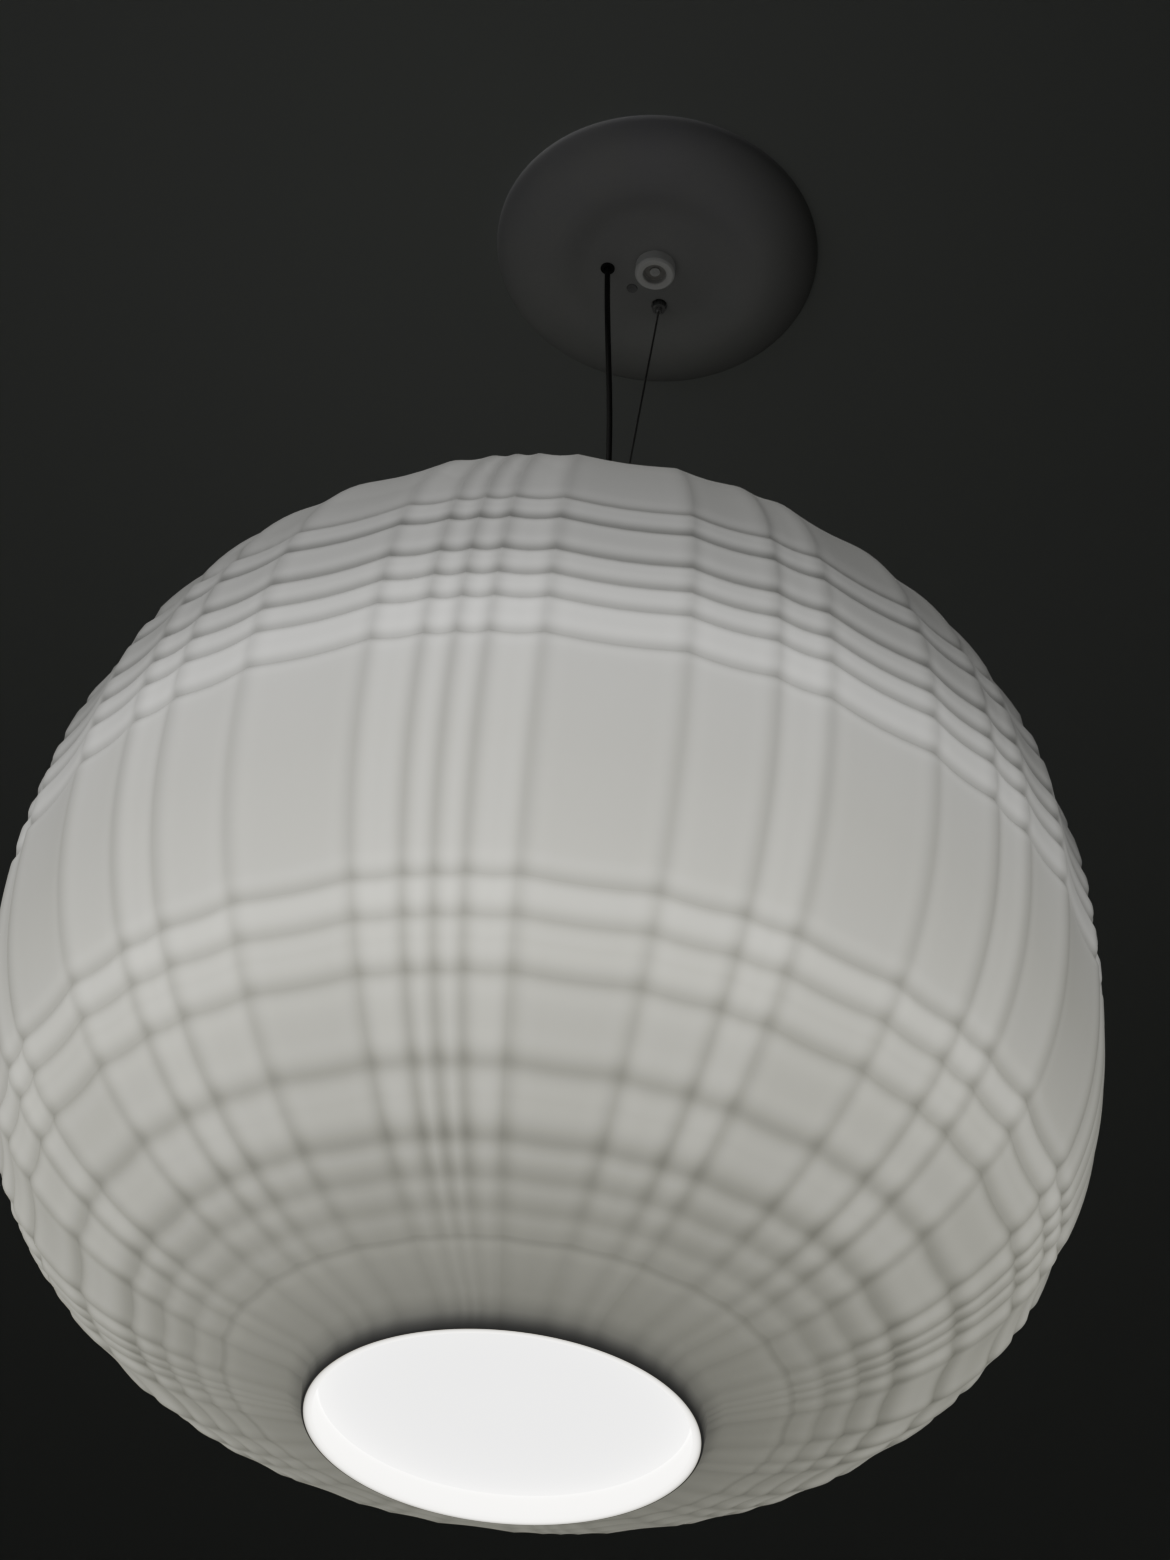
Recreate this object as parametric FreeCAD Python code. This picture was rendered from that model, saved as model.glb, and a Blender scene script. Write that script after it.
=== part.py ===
import FreeCAD, Part
import math
import os

# Pendant lamp: an opal shade with a plaid relief, hung from a ceiling rose on a wire. Millimetres, +Z up.
# The origin is on the ceiling, at the middle of the rose. The lamp's own heights are measured from the
# shade's widest level, and hang() carries them to their place under the wire.

V = FreeCAD.Vector
UP = V(0, 0, 1)

# Ceiling rose
ROSE_RADIUS = 95.5
ROSE_DEPTH = 18.0          # depth of the dome's lowest ring
ROSE_RING_RADIUS = 60.0    # where the dome is deepest
SEAT_DEPTH = 14.0          # depth of the flat middle
SEAT_RADIUS = 36.0
ROSE_WALL = 1.5
PLATE_RADIUS = 52.0
PLATE_THICKNESS = 2.0
PLATE_FLANGE = 3.0         # depth of the plate's turned rim
PLATE_FLANGE_WALL = 1.6
SLOT_SPACING = 80.0
SLOT_LENGTH = 14.0
SLOT_WIDTH = 5.2
NOTCH_RADIUS = 9.0         # notch for the supply cable
NOTCH_ANGLE = -100.0

# Places on the rose, as radius and angle from its middle
WIRE_AT = (28.5, 80.0)
CORD_AT = (28.5, 170.0)
PLUG_AT = (21.5, 125.0)
LAMP_FROM_WIRE = 25.6      # from the wire's hole to the lamp's axis, on the line to the cord's hole
BLOCK_AT = (20.0, -28.0)   # x and y of the terminal block
EARTH_AT = (-31.0, -24.0)  # x and y of the earth screw

# Threads, nuts and clearances
STUD_RADIUS = 3.0
STUD_PAST_NUT = 1.5        # stud end above the bottom of the cap nut's recess
THREAD_GAP = 0.06
LOOSE_GAP = 0.3
NUT_HEIGHT = 5.0
STUD_NUT_FLATS = 10.0
CAP_RADIUS = 11.8
CAP_HEIGHT = 8.0
CAP_RECESS_RADIUS = 6.7
CAP_RECESS_DEPTH = 4.0
CAP_BEVEL = 1.2

# Wire and its gripper
WIRE_RADIUS = 0.6
GRIPPER_RADIUS = 4.0
GRIPPER_SHOWS = 4.0        # length below the rose
GRIPPER_HOLE_GAP = 0.7
GRIPPER_FLATS = 11.0
GRIPPER_FLOOR = 2.0        # wall around the nozzle at the low end
GRIPPER_BORE = 2.9
GRIPPER_CROWN = 2.3        # solid end of the gripper under the ceiling plate
PLUNGER_RADIUS = 1.8
PLUNGER_SHOWS = 3.5
PLUNGER_COLLAR = 2.6
COLLAR_HEIGHT = 1.0
PLUNGER_TRAVEL = 2.0
CONE_NARROW = 1.9
CONE_WIDE = 2.7
CONE_LENGTH = 4.5
BALL_RADIUS = 0.75
BALL_RISE = 1.6            # balls' height above the cone's narrow end
BALL_GAP = 0.02
SPRING_RADIUS = 2.2
SPRING_WALL = 0.5
WIRE_END_GAP = 0.15        # between the held end of the wire and the swinging one

# Power cord, its grip in the rose and its bush
CORD_RADIUS = 1.8
CORD_GAP = 0.3
CORD_STRAIGHT = 12.0       # straight run of cord below the rose
CORD_BEND_HEIGHT = 10.0    # the cord's and the wire's bends above the hub
CORD_END = 5.0             # the cord's end below the stem's top
GRIP_RADIUS = 4.6
GRIP_HEIGHT = 8.0
BUSH_HOLE_RADIUS = 3.2
BUSH_FLANGE_RADIUS = 4.2
BUSH_FLANGE = 1.0
PLUG_HOLE_RADIUS = 2.6
PLUG_HEAD_RADIUS = 3.2
PLUG_HEAD = 0.8

# Terminal block
BLOCK_LENGTH = 30.0
BLOCK_WIDTH = 16.0
BLOCK_HEIGHT = 9.0
BLOCK_WAYS = 3
BLOCK_BORE = 1.5
BLOCK_SCREW = 1.7

# Shade: outside is two superellipses that meet at the widest level
DROP = 560.0               # ceiling to the widest level
SHADE_RADIUS = 250.0
SHADE_RISE = 245.0
SHADE_FALL = 205.5
RISE_POWER = 2.2
FALL_POWER = 2.5
SHADE_WALL = 3.0           # at the bottom of a groove
LAND_RADIUS = 70.0         # flat land around the top hole
LAND_THICKNESS = 7.0
TOP_HOLE_RADIUS = 50.0
NECK_BORE = 77.3
NECK_DROP = 210.5          # widest level to the lip
NECK_SHOULDER = 90.0
NECK_OUTER = 82.0
NECK_WAIST = 203.0         # widest level to the neck's narrow start

# Plaid relief: grooves run round the shade, ridges run down it with hollow flutes between them
GROOVE_HEIGHTS = [93.0, 75.0, 51.0, 35.0, 20.5, 0.0, -106.0, -119.0, -135.5, -159.0, -175.0, -182.0, -187.5, -192.0]
GROOVE_DEPTH = 1.3
GROOVE_SHOULDER = 5.0      # half width of a groove beside a wide band
BAND_CROWN = 0.6
WIDE_BAND = 30.0
RIDGE_GAPS = [5.0, 3.0, 3.0, 5.0, 13.0, 8.5, 5.5, 12.0, 8.5, 5.5, 8.5, 12.5]  # degrees, four times round
RIDGE_START = -109.9       # angle of the first ridge from +X
FLUTE_DEPTH = 1.4          # hollow below the chord at the widest flute
WIDE_GAP = 8.0             # a gap this wide or more has a hollow of its own

# Bottom disc
DISC_GAP = 0.4
DISC_THICKNESS = 3.0
DISC_RECESS = 11.0
DISC_TRAVEL = 30.0
CLIP_WIDTH = 10.0
CLIP_WALL = 0.6
CLIP_COUNT = 3
CLIP_INSIDE = 58.0         # radius where a clip starts
CLIP_RISE = 4.0
CLIP_REST = 1.2            # height of a clip's end above the disc
CLIP_REACH = 4.5           # how far a clip's end passes the bore
CLIP_CREST = 1.5           # a clip's crest inside the bore
CLIP_FOOT = 6.0            # a clip's bend inside the bore
CLIP_TURN = 30.0           # angle of the first clip from +X
NECK_SHELF = 1.5           # height of the bore's end above the disc

# Top fittings
GASKET = 2.0
GASKET_INSIDE = 56.0
COVER_RADIUS = 72.0
COVER_WALL = 1.2
COVER_RISE = 13.0
COVER_FLAT_RADIUS = 26.0
COVER_LIP = 1.0
COVER_SHOULDER = 10.0      # width of the slope beside the cover's flat
COVER_STEP = 3.0           # drop of that slope
HUB_FLANGE_RADIUS = 19.0
HUB_FLANGE = 4.0
HUB_RADIUS = 14.0
HUB_CHAMBER = 11.0
HUB_LENGTH = 42.0
HUB_TOP_WALL = 3.0
FERRULE_RADIUS = 2.2
FERRULE_LENGTH = 9.0
WIRE_OFFSET = 6.5          # wire beside the cord at the hub
CARRIER_RADIUS = 68.0
CARRIER_THICKNESS = 2.0
CARRIER_STEP = 2.0         # depth and slope of the pressed step round the hole
CARRIER_STEP_WIDTH = 4.0   # flat beside the ring nut
GASKET_INSET = 4.0         # gaskets' edge inside the land's edge
RING_NUT_RADIUS = 22.0
RING_NUT_HEIGHT = 8.0
HUB_BUSH_HEIGHT = 8.0
STEM_RADIUS = 5.0
STEM_BORE = 4.0
STEM_LENGTH = 96.0
STEM_NUT_FLATS = 14.0
STEM_NUT_HEIGHT = 4.0

# Lampholder and bulb
HOLDER_RADIUS = 20.5
HOLDER_WALL = 2.0
HOLDER_CAP_HEIGHT = 26.0
HOLDER_SKIRT_HEIGHT = 30.0
CORE_HEIGHT = 12.0
SHELL_WALL = 0.4
SHELL_HEIGHT = 26.0
CONTACT_WIDTH = 4.0
CONTACT_WALL = 0.6
CONTACT_SLOPE = 2.5
BASE_RADIUS = 13.1
THREAD_PITCH = 3.6
THREAD_DEPTH = 1.2
BASE_HEIGHT = 25.0
BASE_TIP = 4.0
GLOBE_RADIUS = 47.5
GLOBE_WALL = 1.0
GLOBE_NECK_RADIUS = 17.0
GLOBE_NECK = 12.0


def polar(place):
    """Point in the plane for a radius and an angle in degrees."""
    radius, angle = place
    return (radius * math.cos(math.radians(angle)), radius * math.sin(math.radians(angle)))


def towards(start, end, reach):
    """Point in the plane that lies a distance from one point on the way to another."""
    share = reach / math.dist(start, end)
    return (start[0] + (end[0] - start[0]) * share, start[1] + (end[1] - start[1]) * share)


WIRE_XY = polar(WIRE_AT)
CORD_XY = polar(CORD_AT)
PLUG_XY = polar(PLUG_AT)
LAMP_XY = towards(WIRE_XY, CORD_XY, LAMP_FROM_WIRE)
WIRE_FOOT = towards(LAMP_XY, WIRE_XY, WIRE_OFFSET)
WIRE_HOLE = (WIRE_FOOT[0] - LAMP_XY[0], WIRE_FOOT[1] - LAMP_XY[1])  # in the hub

# Heights in the rose, from the ceiling
SEAT_TOP = -(SEAT_DEPTH - ROSE_WALL)
SEAT_FACE = -SEAT_DEPTH
GRIPPER_END = SEAT_FACE - GRIPPER_SHOWS
PLUNGER_END = GRIPPER_END - PLUNGER_SHOWS
COLLAR_LOW = GRIPPER_END + GRIPPER_FLOOR + LOOSE_GAP / 2
CONE_LOW = COLLAR_LOW + COLLAR_HEIGHT + PLUNGER_TRAVEL + LOOSE_GAP
CONE_TOP = CONE_LOW + CONE_LENGTH
GRIPPER_ROOF = -PLATE_THICKNESS - GRIPPER_CROWN
BALL_HEIGHT = CONE_LOW + BALL_RISE
CAP_END = SEAT_FACE - CAP_HEIGHT
STUD_END = CAP_END + CAP_RECESS_DEPTH - STUD_PAST_NUT

# Heights of the lamp, from the shade's widest level
LIP = -NECK_DROP
DISC_LOW = LIP + DISC_RECESS
DISC_TOP = DISC_LOW + DISC_THICKNESS


def rise_point(turn):
    """Radius and height on the upper outline, for a turn from 0 at the widest level to 90 at the pole."""
    power = 2.0 / RISE_POWER
    return (SHADE_RADIUS * math.cos(math.radians(turn)) ** power, SHADE_RISE * math.sin(math.radians(turn)) ** power)


def outline_radius(height, radius=SHADE_RADIUS, rise=SHADE_RISE, fall=SHADE_FALL):
    """Radius of a superellipse outline at a height above or below the widest level."""
    if height >= 0:
        return radius * (1 - (height / rise) ** RISE_POWER) ** (1 / RISE_POWER)
    return radius * (1 - (-height / fall) ** FALL_POWER) ** (1 / FALL_POWER)


def outline_height(level_radius, radius=SHADE_RADIUS, rise=SHADE_RISE):
    """Height of the upper superellipse outline at a radius."""
    return rise * (1 - (level_radius / radius) ** RISE_POWER) ** (1 / RISE_POWER)


def outline_depth(level_radius, radius=SHADE_RADIUS, fall=SHADE_FALL):
    """Height of the lower superellipse outline at a radius."""
    return -fall * (1 - (level_radius / radius) ** FALL_POWER) ** (1 / FALL_POWER)


LAND = outline_height(LAND_RADIUS)
COVER_SEAT = LAND + GASKET
COVER_TOP = COVER_SEAT + COVER_WALL + COVER_RISE
HUB_TOP = COVER_TOP + HUB_FLANGE
HUB_LOW = COVER_TOP - HUB_LENGTH
CHAMBER_TOP = HUB_TOP - HUB_TOP_WALL
INNER_LAND = LAND - LAND_THICKNESS
CARRIER_TOP = INNER_LAND - GASKET
CARRIER_LOW = CARRIER_TOP - CARRIER_THICKNESS
STEM_TOP = HUB_LOW + HUB_BUSH_HEIGHT
STEM_LOW = STEM_TOP - STEM_LENGTH
HOLDER_TOP = STEM_LOW + HOLDER_WALL
SKIRT_TOP = HOLDER_TOP - HOLDER_CAP_HEIGHT
SKIRT_LOW = SKIRT_TOP - HOLDER_SKIRT_HEIGHT
SHELL_TOP = SKIRT_TOP
SHELL_LOW = SHELL_TOP - SHELL_HEIGHT
BASE_LOW = SHELL_LOW - LOOSE_GAP
BASE_TOP = BASE_LOW + BASE_HEIGHT
SHELL_RADIUS = BASE_RADIUS + LOOSE_GAP
GLOBE_TOP = BASE_LOW - GLOBE_NECK
GLOBE_MIDDLE = GLOBE_TOP - math.sqrt(GLOBE_RADIUS ** 2 - GLOBE_NECK_RADIUS ** 2)


def save(name, shape):
    """Write one piece to its own file."""
    shape.exportStep("parts/" + name + ".step")


def hang(shape):
    """Carry a piece of the lamp from its own heights to its place between the wire and the cord."""
    shape.translate(V(LAMP_XY[0], LAMP_XY[1], -DROP))
    return shape


def rod(radius, low, high, at=(0.0, 0.0)):
    """Round bar standing between two heights."""
    return Part.makeCylinder(radius, high - low, V(at[0], at[1], low), UP)


def tube(radius, bore, low, high, at=(0.0, 0.0)):
    """Round bar with a bore."""
    return rod(radius, low, high, at).cut(rod(bore, low - 1, high + 1, at))


def hexagon(flats, low, high, at=(0.0, 0.0)):
    """Hexagonal bar across its flats."""
    corner = flats / math.sqrt(3)
    points = [V(at[0] + polar((corner, 60 * i))[0], at[1] + polar((corner, 60 * i))[1], low) for i in range(6)]
    return Part.Face(Part.makePolygon(points + points[:1])).extrude(V(0, 0, high - low))


def turned(points, at=(0.0, 0.0)):
    """Solid turned from a closed outline of radius and height pairs."""
    outline = [V(r, 0, z) for r, z in points]
    solid = Part.Face(Part.makePolygon(outline + outline[:1])).revolve(V(0, 0, 0), UP, 360)
    solid.translate(V(at[0], at[1], 0))
    return solid


def turned_edges(edges):
    """Solid turned from a closed chain of edges in the XZ plane."""
    return Part.Face(Part.Wire(edges)).revolve(V(0, 0, 0), UP, 360)


def line(a, b):
    """Straight edge between two radius and height pairs."""
    return Part.LineSegment(V(a[0], 0, a[1]), V(b[0], 0, b[1])).toShape()


def quarter(middle_radius, middle_height, across, down):
    """Quarter ellipse edge from the rim's level down to its lowest point."""
    middle = V(middle_radius, 0, middle_height)
    rim = middle + V(across, 0, 0)
    lowest = middle - V(0, 0, down)
    curve = Part.Ellipse(rim, lowest, middle)
    start = curve.parameter(rim)
    end = curve.parameter(lowest)
    if end < start:
        end += 2 * math.pi
    return Part.Edge(curve, start, end)


def dip(low, high):
    """Soft S curve edge between the dome's lowest ring and its flat seat."""
    curve = Part.BezierCurve()
    lean = 0.45 * (ROSE_RING_RADIUS - SEAT_RADIUS)
    curve.setPoles([V(ROSE_RING_RADIUS, 0, low), V(ROSE_RING_RADIUS - lean, 0, low), V(SEAT_RADIUS + lean, 0, high),
                    V(SEAT_RADIUS, 0, high)])
    return curve.toShape()


def rose_dome():
    """Pressed dome whose middle is a shallow flat seat, with holes for the stud, wire, cord and plug."""
    across = ROSE_RADIUS - ROSE_RING_RADIUS
    stud_hole = STUD_RADIUS + LOOSE_GAP
    inner_low = -(ROSE_DEPTH - ROSE_WALL)
    edges = [
        quarter(ROSE_RING_RADIUS, 0.0, across, ROSE_DEPTH),
        dip(-ROSE_DEPTH, SEAT_FACE),
        line((SEAT_RADIUS, SEAT_FACE), (stud_hole, SEAT_FACE)),
        line((stud_hole, SEAT_FACE), (stud_hole, SEAT_TOP)),
        line((stud_hole, SEAT_TOP), (SEAT_RADIUS, SEAT_TOP)),
        dip(inner_low, SEAT_TOP),
        quarter(ROSE_RING_RADIUS, 0.0, across - ROSE_WALL, ROSE_DEPTH - ROSE_WALL),
        line((ROSE_RADIUS - ROSE_WALL, 0.0), (ROSE_RADIUS, 0.0)),
    ]
    dome = turned_edges(Part.__sortEdges__(edges))
    for radius, place in ((GRIPPER_RADIUS + GRIPPER_HOLE_GAP, WIRE_XY), (BUSH_HOLE_RADIUS, CORD_XY),
                          (PLUG_HOLE_RADIUS, PLUG_XY)):
        dome = dome.cut(rod(radius, -ROSE_DEPTH, -1, place))
    return dome


def ceiling_plate():
    """Pressed plate with a turned rim, two screw slots, a cable notch and holes for what stands on it."""
    rim = -PLATE_THICKNESS - PLATE_FLANGE
    inside = PLATE_RADIUS - PLATE_FLANGE_WALL
    plate = turned([(0, 0), (PLATE_RADIUS, 0), (PLATE_RADIUS, rim), (inside, rim), (inside, -PLATE_THICKNESS),
                    (0, -PLATE_THICKNESS)])
    for side in (-1, 1):
        middle = side * SLOT_SPACING / 2
        reach = (SLOT_LENGTH - SLOT_WIDTH) / 2
        slot = Part.makeBox(2 * reach, SLOT_WIDTH, 2 * PLATE_THICKNESS,
                            V(middle - reach, -SLOT_WIDTH / 2, -1.5 * PLATE_THICKNESS))
        for end in (-reach, reach):
            slot = slot.fuse(rod(SLOT_WIDTH / 2, -1.5 * PLATE_THICKNESS, 0.5 * PLATE_THICKNESS, (middle + end, 0)))
        plate = plate.cut(slot)
    plate = plate.cut(rod(NOTCH_RADIUS, rim - 1, 1, polar((PLATE_RADIUS, NOTCH_ANGLE))))
    for place in ((0.0, 0.0), WIRE_XY, CORD_XY):
        plate = plate.cut(rod(STUD_RADIUS, -PLATE_THICKNESS - 1, 1, place))
    return plate.cut(rod(BLOCK_SCREW, -PLATE_THICKNESS - 1, 1, EARTH_AT))


def plate_stud():
    """Threaded stud that the cap nut pulls the rose up on."""
    return rod(STUD_RADIUS, STUD_END, 0)


def stud_nut():
    """Lock nut that holds the stud to the plate."""
    return hexagon(STUD_NUT_FLATS, -PLATE_THICKNESS - NUT_HEIGHT, -PLATE_THICKNESS).cut(rod(STUD_RADIUS, -20, 1))


def rose_cap_nut():
    """Round cap nut with bevelled edges and a recess that shows the stud's end."""
    bore = STUD_RADIUS + THREAD_GAP
    recess = CAP_END + CAP_RECESS_DEPTH
    return turned([(bore, SEAT_FACE), (CAP_RADIUS, SEAT_FACE), (CAP_RADIUS, CAP_END + CAP_BEVEL),
                   (CAP_RADIUS - CAP_BEVEL, CAP_END), (CAP_RECESS_RADIUS + CAP_BEVEL / 2, CAP_END),
                   (CAP_RECESS_RADIUS, CAP_END + CAP_BEVEL / 2), (CAP_RECESS_RADIUS, recess), (bore, recess)])


def gripper_body():
    """Wire gripper: threaded neck in the plate, hexagon, and a sleeve whose inside narrows towards its nozzle."""
    low = -PLATE_THICKNESS - NUT_HEIGHT
    floor = GRIPPER_END + GRIPPER_FLOOR
    body = hexagon(GRIPPER_FLATS, low, -PLATE_THICKNESS, WIRE_XY)
    body = body.fuse(rod(STUD_RADIUS, -PLATE_THICKNESS, 0, WIRE_XY))
    body = body.fuse(rod(GRIPPER_RADIUS, GRIPPER_END, low, WIRE_XY))
    nozzle = PLUNGER_RADIUS + LOOSE_GAP / 2
    bore = turned([(0, GRIPPER_ROOF), (CONE_WIDE, GRIPPER_ROOF), (CONE_WIDE, CONE_TOP), (CONE_NARROW, CONE_LOW),
                   (GRIPPER_BORE, CONE_LOW), (GRIPPER_BORE, floor), (nozzle, floor), (nozzle, GRIPPER_END - 1),
                   (0, GRIPPER_END - 1)], WIRE_XY)
    return body.cut(bore)


def gripper_plunger():
    """Sleeve round the wire, with a collar that stops it in the body and an end that lifts the balls."""
    bore = WIRE_RADIUS + LOOSE_GAP / 2
    lift = CONE_NARROW - LOOSE_GAP
    top = BALL_HEIGHT - BALL_RADIUS - LOOSE_GAP / 3
    collar_top = COLLAR_LOW + COLLAR_HEIGHT
    return turned([(bore, PLUNGER_END), (PLUNGER_RADIUS - 0.4, PLUNGER_END), (PLUNGER_RADIUS, PLUNGER_END + 0.4),
                   (PLUNGER_RADIUS, COLLAR_LOW), (PLUNGER_COLLAR, COLLAR_LOW), (PLUNGER_COLLAR, collar_top),
                   (lift, collar_top), (lift, top), (bore, top)], WIRE_XY)


def gripper_balls():
    """Three balls that wedge the wire in the cone."""
    balls = []
    for i in range(3):
        x, y = polar((WIRE_RADIUS + BALL_RADIUS + BALL_GAP, 120 * i))
        balls.append(Part.makeSphere(BALL_RADIUS, V(WIRE_XY[0] + x, WIRE_XY[1] + y, BALL_HEIGHT)))
    return Part.makeCompound(balls)


def gripper_spring():
    """Spring between the balls and the roof of the gripper, shown as its sleeve."""
    return tube(SPRING_RADIUS, SPRING_RADIUS - SPRING_WALL, BALL_HEIGHT + BALL_RADIUS + LOOSE_GAP / 2, GRIPPER_ROOF,
                WIRE_XY)


def cord_grip():
    """Grip that holds the cord's end against the plate."""
    low = -PLATE_THICKNESS - GRIP_HEIGHT
    body = rod(GRIP_RADIUS, low, -PLATE_THICKNESS, CORD_XY).fuse(rod(STUD_RADIUS, -PLATE_THICKNESS, 0, CORD_XY))
    body = body.cut(rod(CORD_RADIUS, low - 1, -1, CORD_XY))
    side = Part.makeCylinder(1.5, GRIP_RADIUS + 1, V(CORD_XY[0], CORD_XY[1], low + GRIP_HEIGHT / 2), V(-1, 0, 0))
    return body.cut(side)


def grip_screw():
    """Side screw of the cord grip."""
    middle = V(CORD_XY[0] - CORD_RADIUS, CORD_XY[1], -PLATE_THICKNESS - GRIP_HEIGHT / 2)
    shank = Part.makeCylinder(1.5, GRIP_RADIUS - CORD_RADIUS, middle, V(-1, 0, 0))
    head = Part.makeCylinder(2.4, 1.6, middle + V(-(GRIP_RADIUS - CORD_RADIUS), 0, 0), V(-1, 0, 0))
    return shank.fuse(head)


def cord_bush():
    """Bush that lines the cord's hole in the rose, with a flange on each side of the wall."""
    bore = CORD_RADIUS + CORD_GAP
    top = SEAT_TOP + BUSH_FLANGE
    low = SEAT_FACE - BUSH_FLANGE
    return turned([(bore, low), (BUSH_FLANGE_RADIUS - 0.4, low), (BUSH_FLANGE_RADIUS, low + 0.4),
                   (BUSH_FLANGE_RADIUS, SEAT_FACE), (BUSH_HOLE_RADIUS, SEAT_FACE), (BUSH_HOLE_RADIUS, SEAT_TOP),
                   (BUSH_FLANGE_RADIUS, SEAT_TOP), (BUSH_HOLE_RADIUS, top), (bore, top)], CORD_XY)


def blanking_plug():
    """Push-in plug that closes the spare hole."""
    barb = PLUG_HOLE_RADIUS + 0.5
    return turned([(0, SEAT_FACE - PLUG_HEAD), (PLUG_HEAD_RADIUS - 0.3, SEAT_FACE - PLUG_HEAD),
                   (PLUG_HEAD_RADIUS, SEAT_FACE), (PLUG_HOLE_RADIUS, SEAT_FACE), (PLUG_HOLE_RADIUS, SEAT_TOP),
                   (barb, SEAT_TOP), (PLUG_HOLE_RADIUS - 0.6, SEAT_TOP + 2), (0, SEAT_TOP + 2)], PLUG_XY)


def way_places():
    """Middles of the terminal block's screws, in pairs along the block."""
    pitch = BLOCK_LENGTH / BLOCK_WAYS
    places = []
    for i in range(BLOCK_WAYS):
        x = BLOCK_AT[0] - BLOCK_LENGTH / 2 + pitch * (i + 0.5)
        places.append((x, BLOCK_AT[1] - BLOCK_WIDTH / 4))
        places.append((x, BLOCK_AT[1] + BLOCK_WIDTH / 4))
    return places


def terminal_block():
    """Three-way block with a wire bore through each way and a screw hole at each end of it."""
    low = -PLATE_THICKNESS - BLOCK_HEIGHT
    block = Part.makeBox(BLOCK_LENGTH, BLOCK_WIDTH, BLOCK_HEIGHT,
                         V(BLOCK_AT[0] - BLOCK_LENGTH / 2, BLOCK_AT[1] - BLOCK_WIDTH / 2, low))
    for x, y in way_places():
        block = block.cut(rod(BLOCK_SCREW, low - 1, low + BLOCK_HEIGHT / 2, (x, y)))
    for x, y in way_places()[::2]:
        bore = Part.makeCylinder(BLOCK_BORE, BLOCK_WIDTH + 2, V(x, BLOCK_AT[1] - BLOCK_WIDTH / 2 - 1,
                                                               low + BLOCK_HEIGHT / 2 + BLOCK_BORE), V(0, 1, 0))
        block = block.cut(bore)
    return block


def terminal_screws():
    """Clamping screws of the terminal block, set a little into their holes."""
    low = -PLATE_THICKNESS - BLOCK_HEIGHT
    screws = []
    for place in way_places():
        screw = rod(BLOCK_SCREW, low + 0.8, low + BLOCK_HEIGHT / 2, place)
        slot = Part.makeBox(2 * BLOCK_SCREW, 0.5, 0.6, V(place[0] - BLOCK_SCREW, place[1] - 0.25, low + 0.8))
        screws.append(screw.cut(slot))
    return Part.makeCompound(screws)


def earth_screw():
    """Screw and washer for the earth lead."""
    face = -PLATE_THICKNESS
    screw = rod(BLOCK_SCREW, face, 0, EARTH_AT).fuse(rod(4.0, face - 0.8, face, EARTH_AT))
    screw = screw.fuse(rod(3.0, face - 3.0, face - 0.8, EARTH_AT))
    slot = Part.makeBox(8, 0.8, 1.0, V(EARTH_AT[0] - 4, EARTH_AT[1] - 0.4, face - 3.0))
    return screw.cut(slot)


def cord_route():
    """Points of the power cord, from its grip in the rose to the stem in the lamp."""
    return [
        V(CORD_XY[0], CORD_XY[1], -PLATE_THICKNESS - GRIP_HEIGHT),
        V(CORD_XY[0], CORD_XY[1], SEAT_FACE - CORD_STRAIGHT),
        V(LAMP_XY[0], LAMP_XY[1], HUB_TOP + CORD_BEND_HEIGHT - DROP),
        V(LAMP_XY[0], LAMP_XY[1], STEM_TOP - CORD_END - DROP),
    ]


def cord_tube(points, radius):
    """Tube of straight runs joined by tangent arcs, and the arcs' radii."""
    edges = []
    radii = []
    start = points[0]
    for before, corner, after in zip(points, points[1:], points[2:]):
        into = (corner - before).normalize()
        out = (after - corner).normalize()
        half = into.getAngle(out) / 2
        reach = 0.45 * min((corner - before).Length, (after - corner).Length)
        radii.append(reach / math.tan(half))
        a = corner - into * reach
        b = corner + out * reach
        inward = (out - into).normalize()
        middle = corner + inward * (radii[-1] / math.cos(half) - radii[-1])
        edges.append(Part.LineSegment(start, a).toShape())
        edges.append(Part.Arc(a, middle, b).toShape())
        start = b
    edges.append(Part.LineSegment(start, points[-1]).toShape())
    path = Part.Wire(edges)
    first = (points[1] - points[0]).normalize()
    section = Part.Wire(Part.makeCircle(radius, points[0], first))
    return path.makePipeShell([section], True, True), radii, path.Length


def power_cord():
    """Power cord, nearly taut between its grip and the hub."""
    solid, radii, length = cord_tube(cord_route(), CORD_RADIUS)
    share = solid.Volume / (math.pi * CORD_RADIUS ** 2 * length)
    print("power cord length", round(length, 1), "arc radii", [round(r) for r in radii], "volume share", round(share, 4))
    return solid


def wire_grip_end():
    """End of the suspension wire inside the gripper."""
    return rod(WIRE_RADIUS, PLUNGER_END, GRIPPER_ROOF - LOOSE_GAP, WIRE_XY)


def suspension_wire():
    """Taut wire from the gripper to the hub, where it turns straight down into the ferrule."""
    route = [
        V(WIRE_XY[0], WIRE_XY[1], PLUNGER_END - WIRE_END_GAP),
        V(WIRE_FOOT[0], WIRE_FOOT[1], HUB_TOP + CORD_BEND_HEIGHT - DROP),
        V(WIRE_FOOT[0], WIRE_FOOT[1], CHAMBER_TOP - FERRULE_LENGTH - DROP),
    ]
    return cord_tube(route, WIRE_RADIUS)[0]


def wire_ferrule():
    """Crimped ferrule under the hub's top wall."""
    return tube(FERRULE_RADIUS, WIRE_RADIUS, CHAMBER_TOP - FERRULE_LENGTH, CHAMBER_TOP, WIRE_HOLE)


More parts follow.
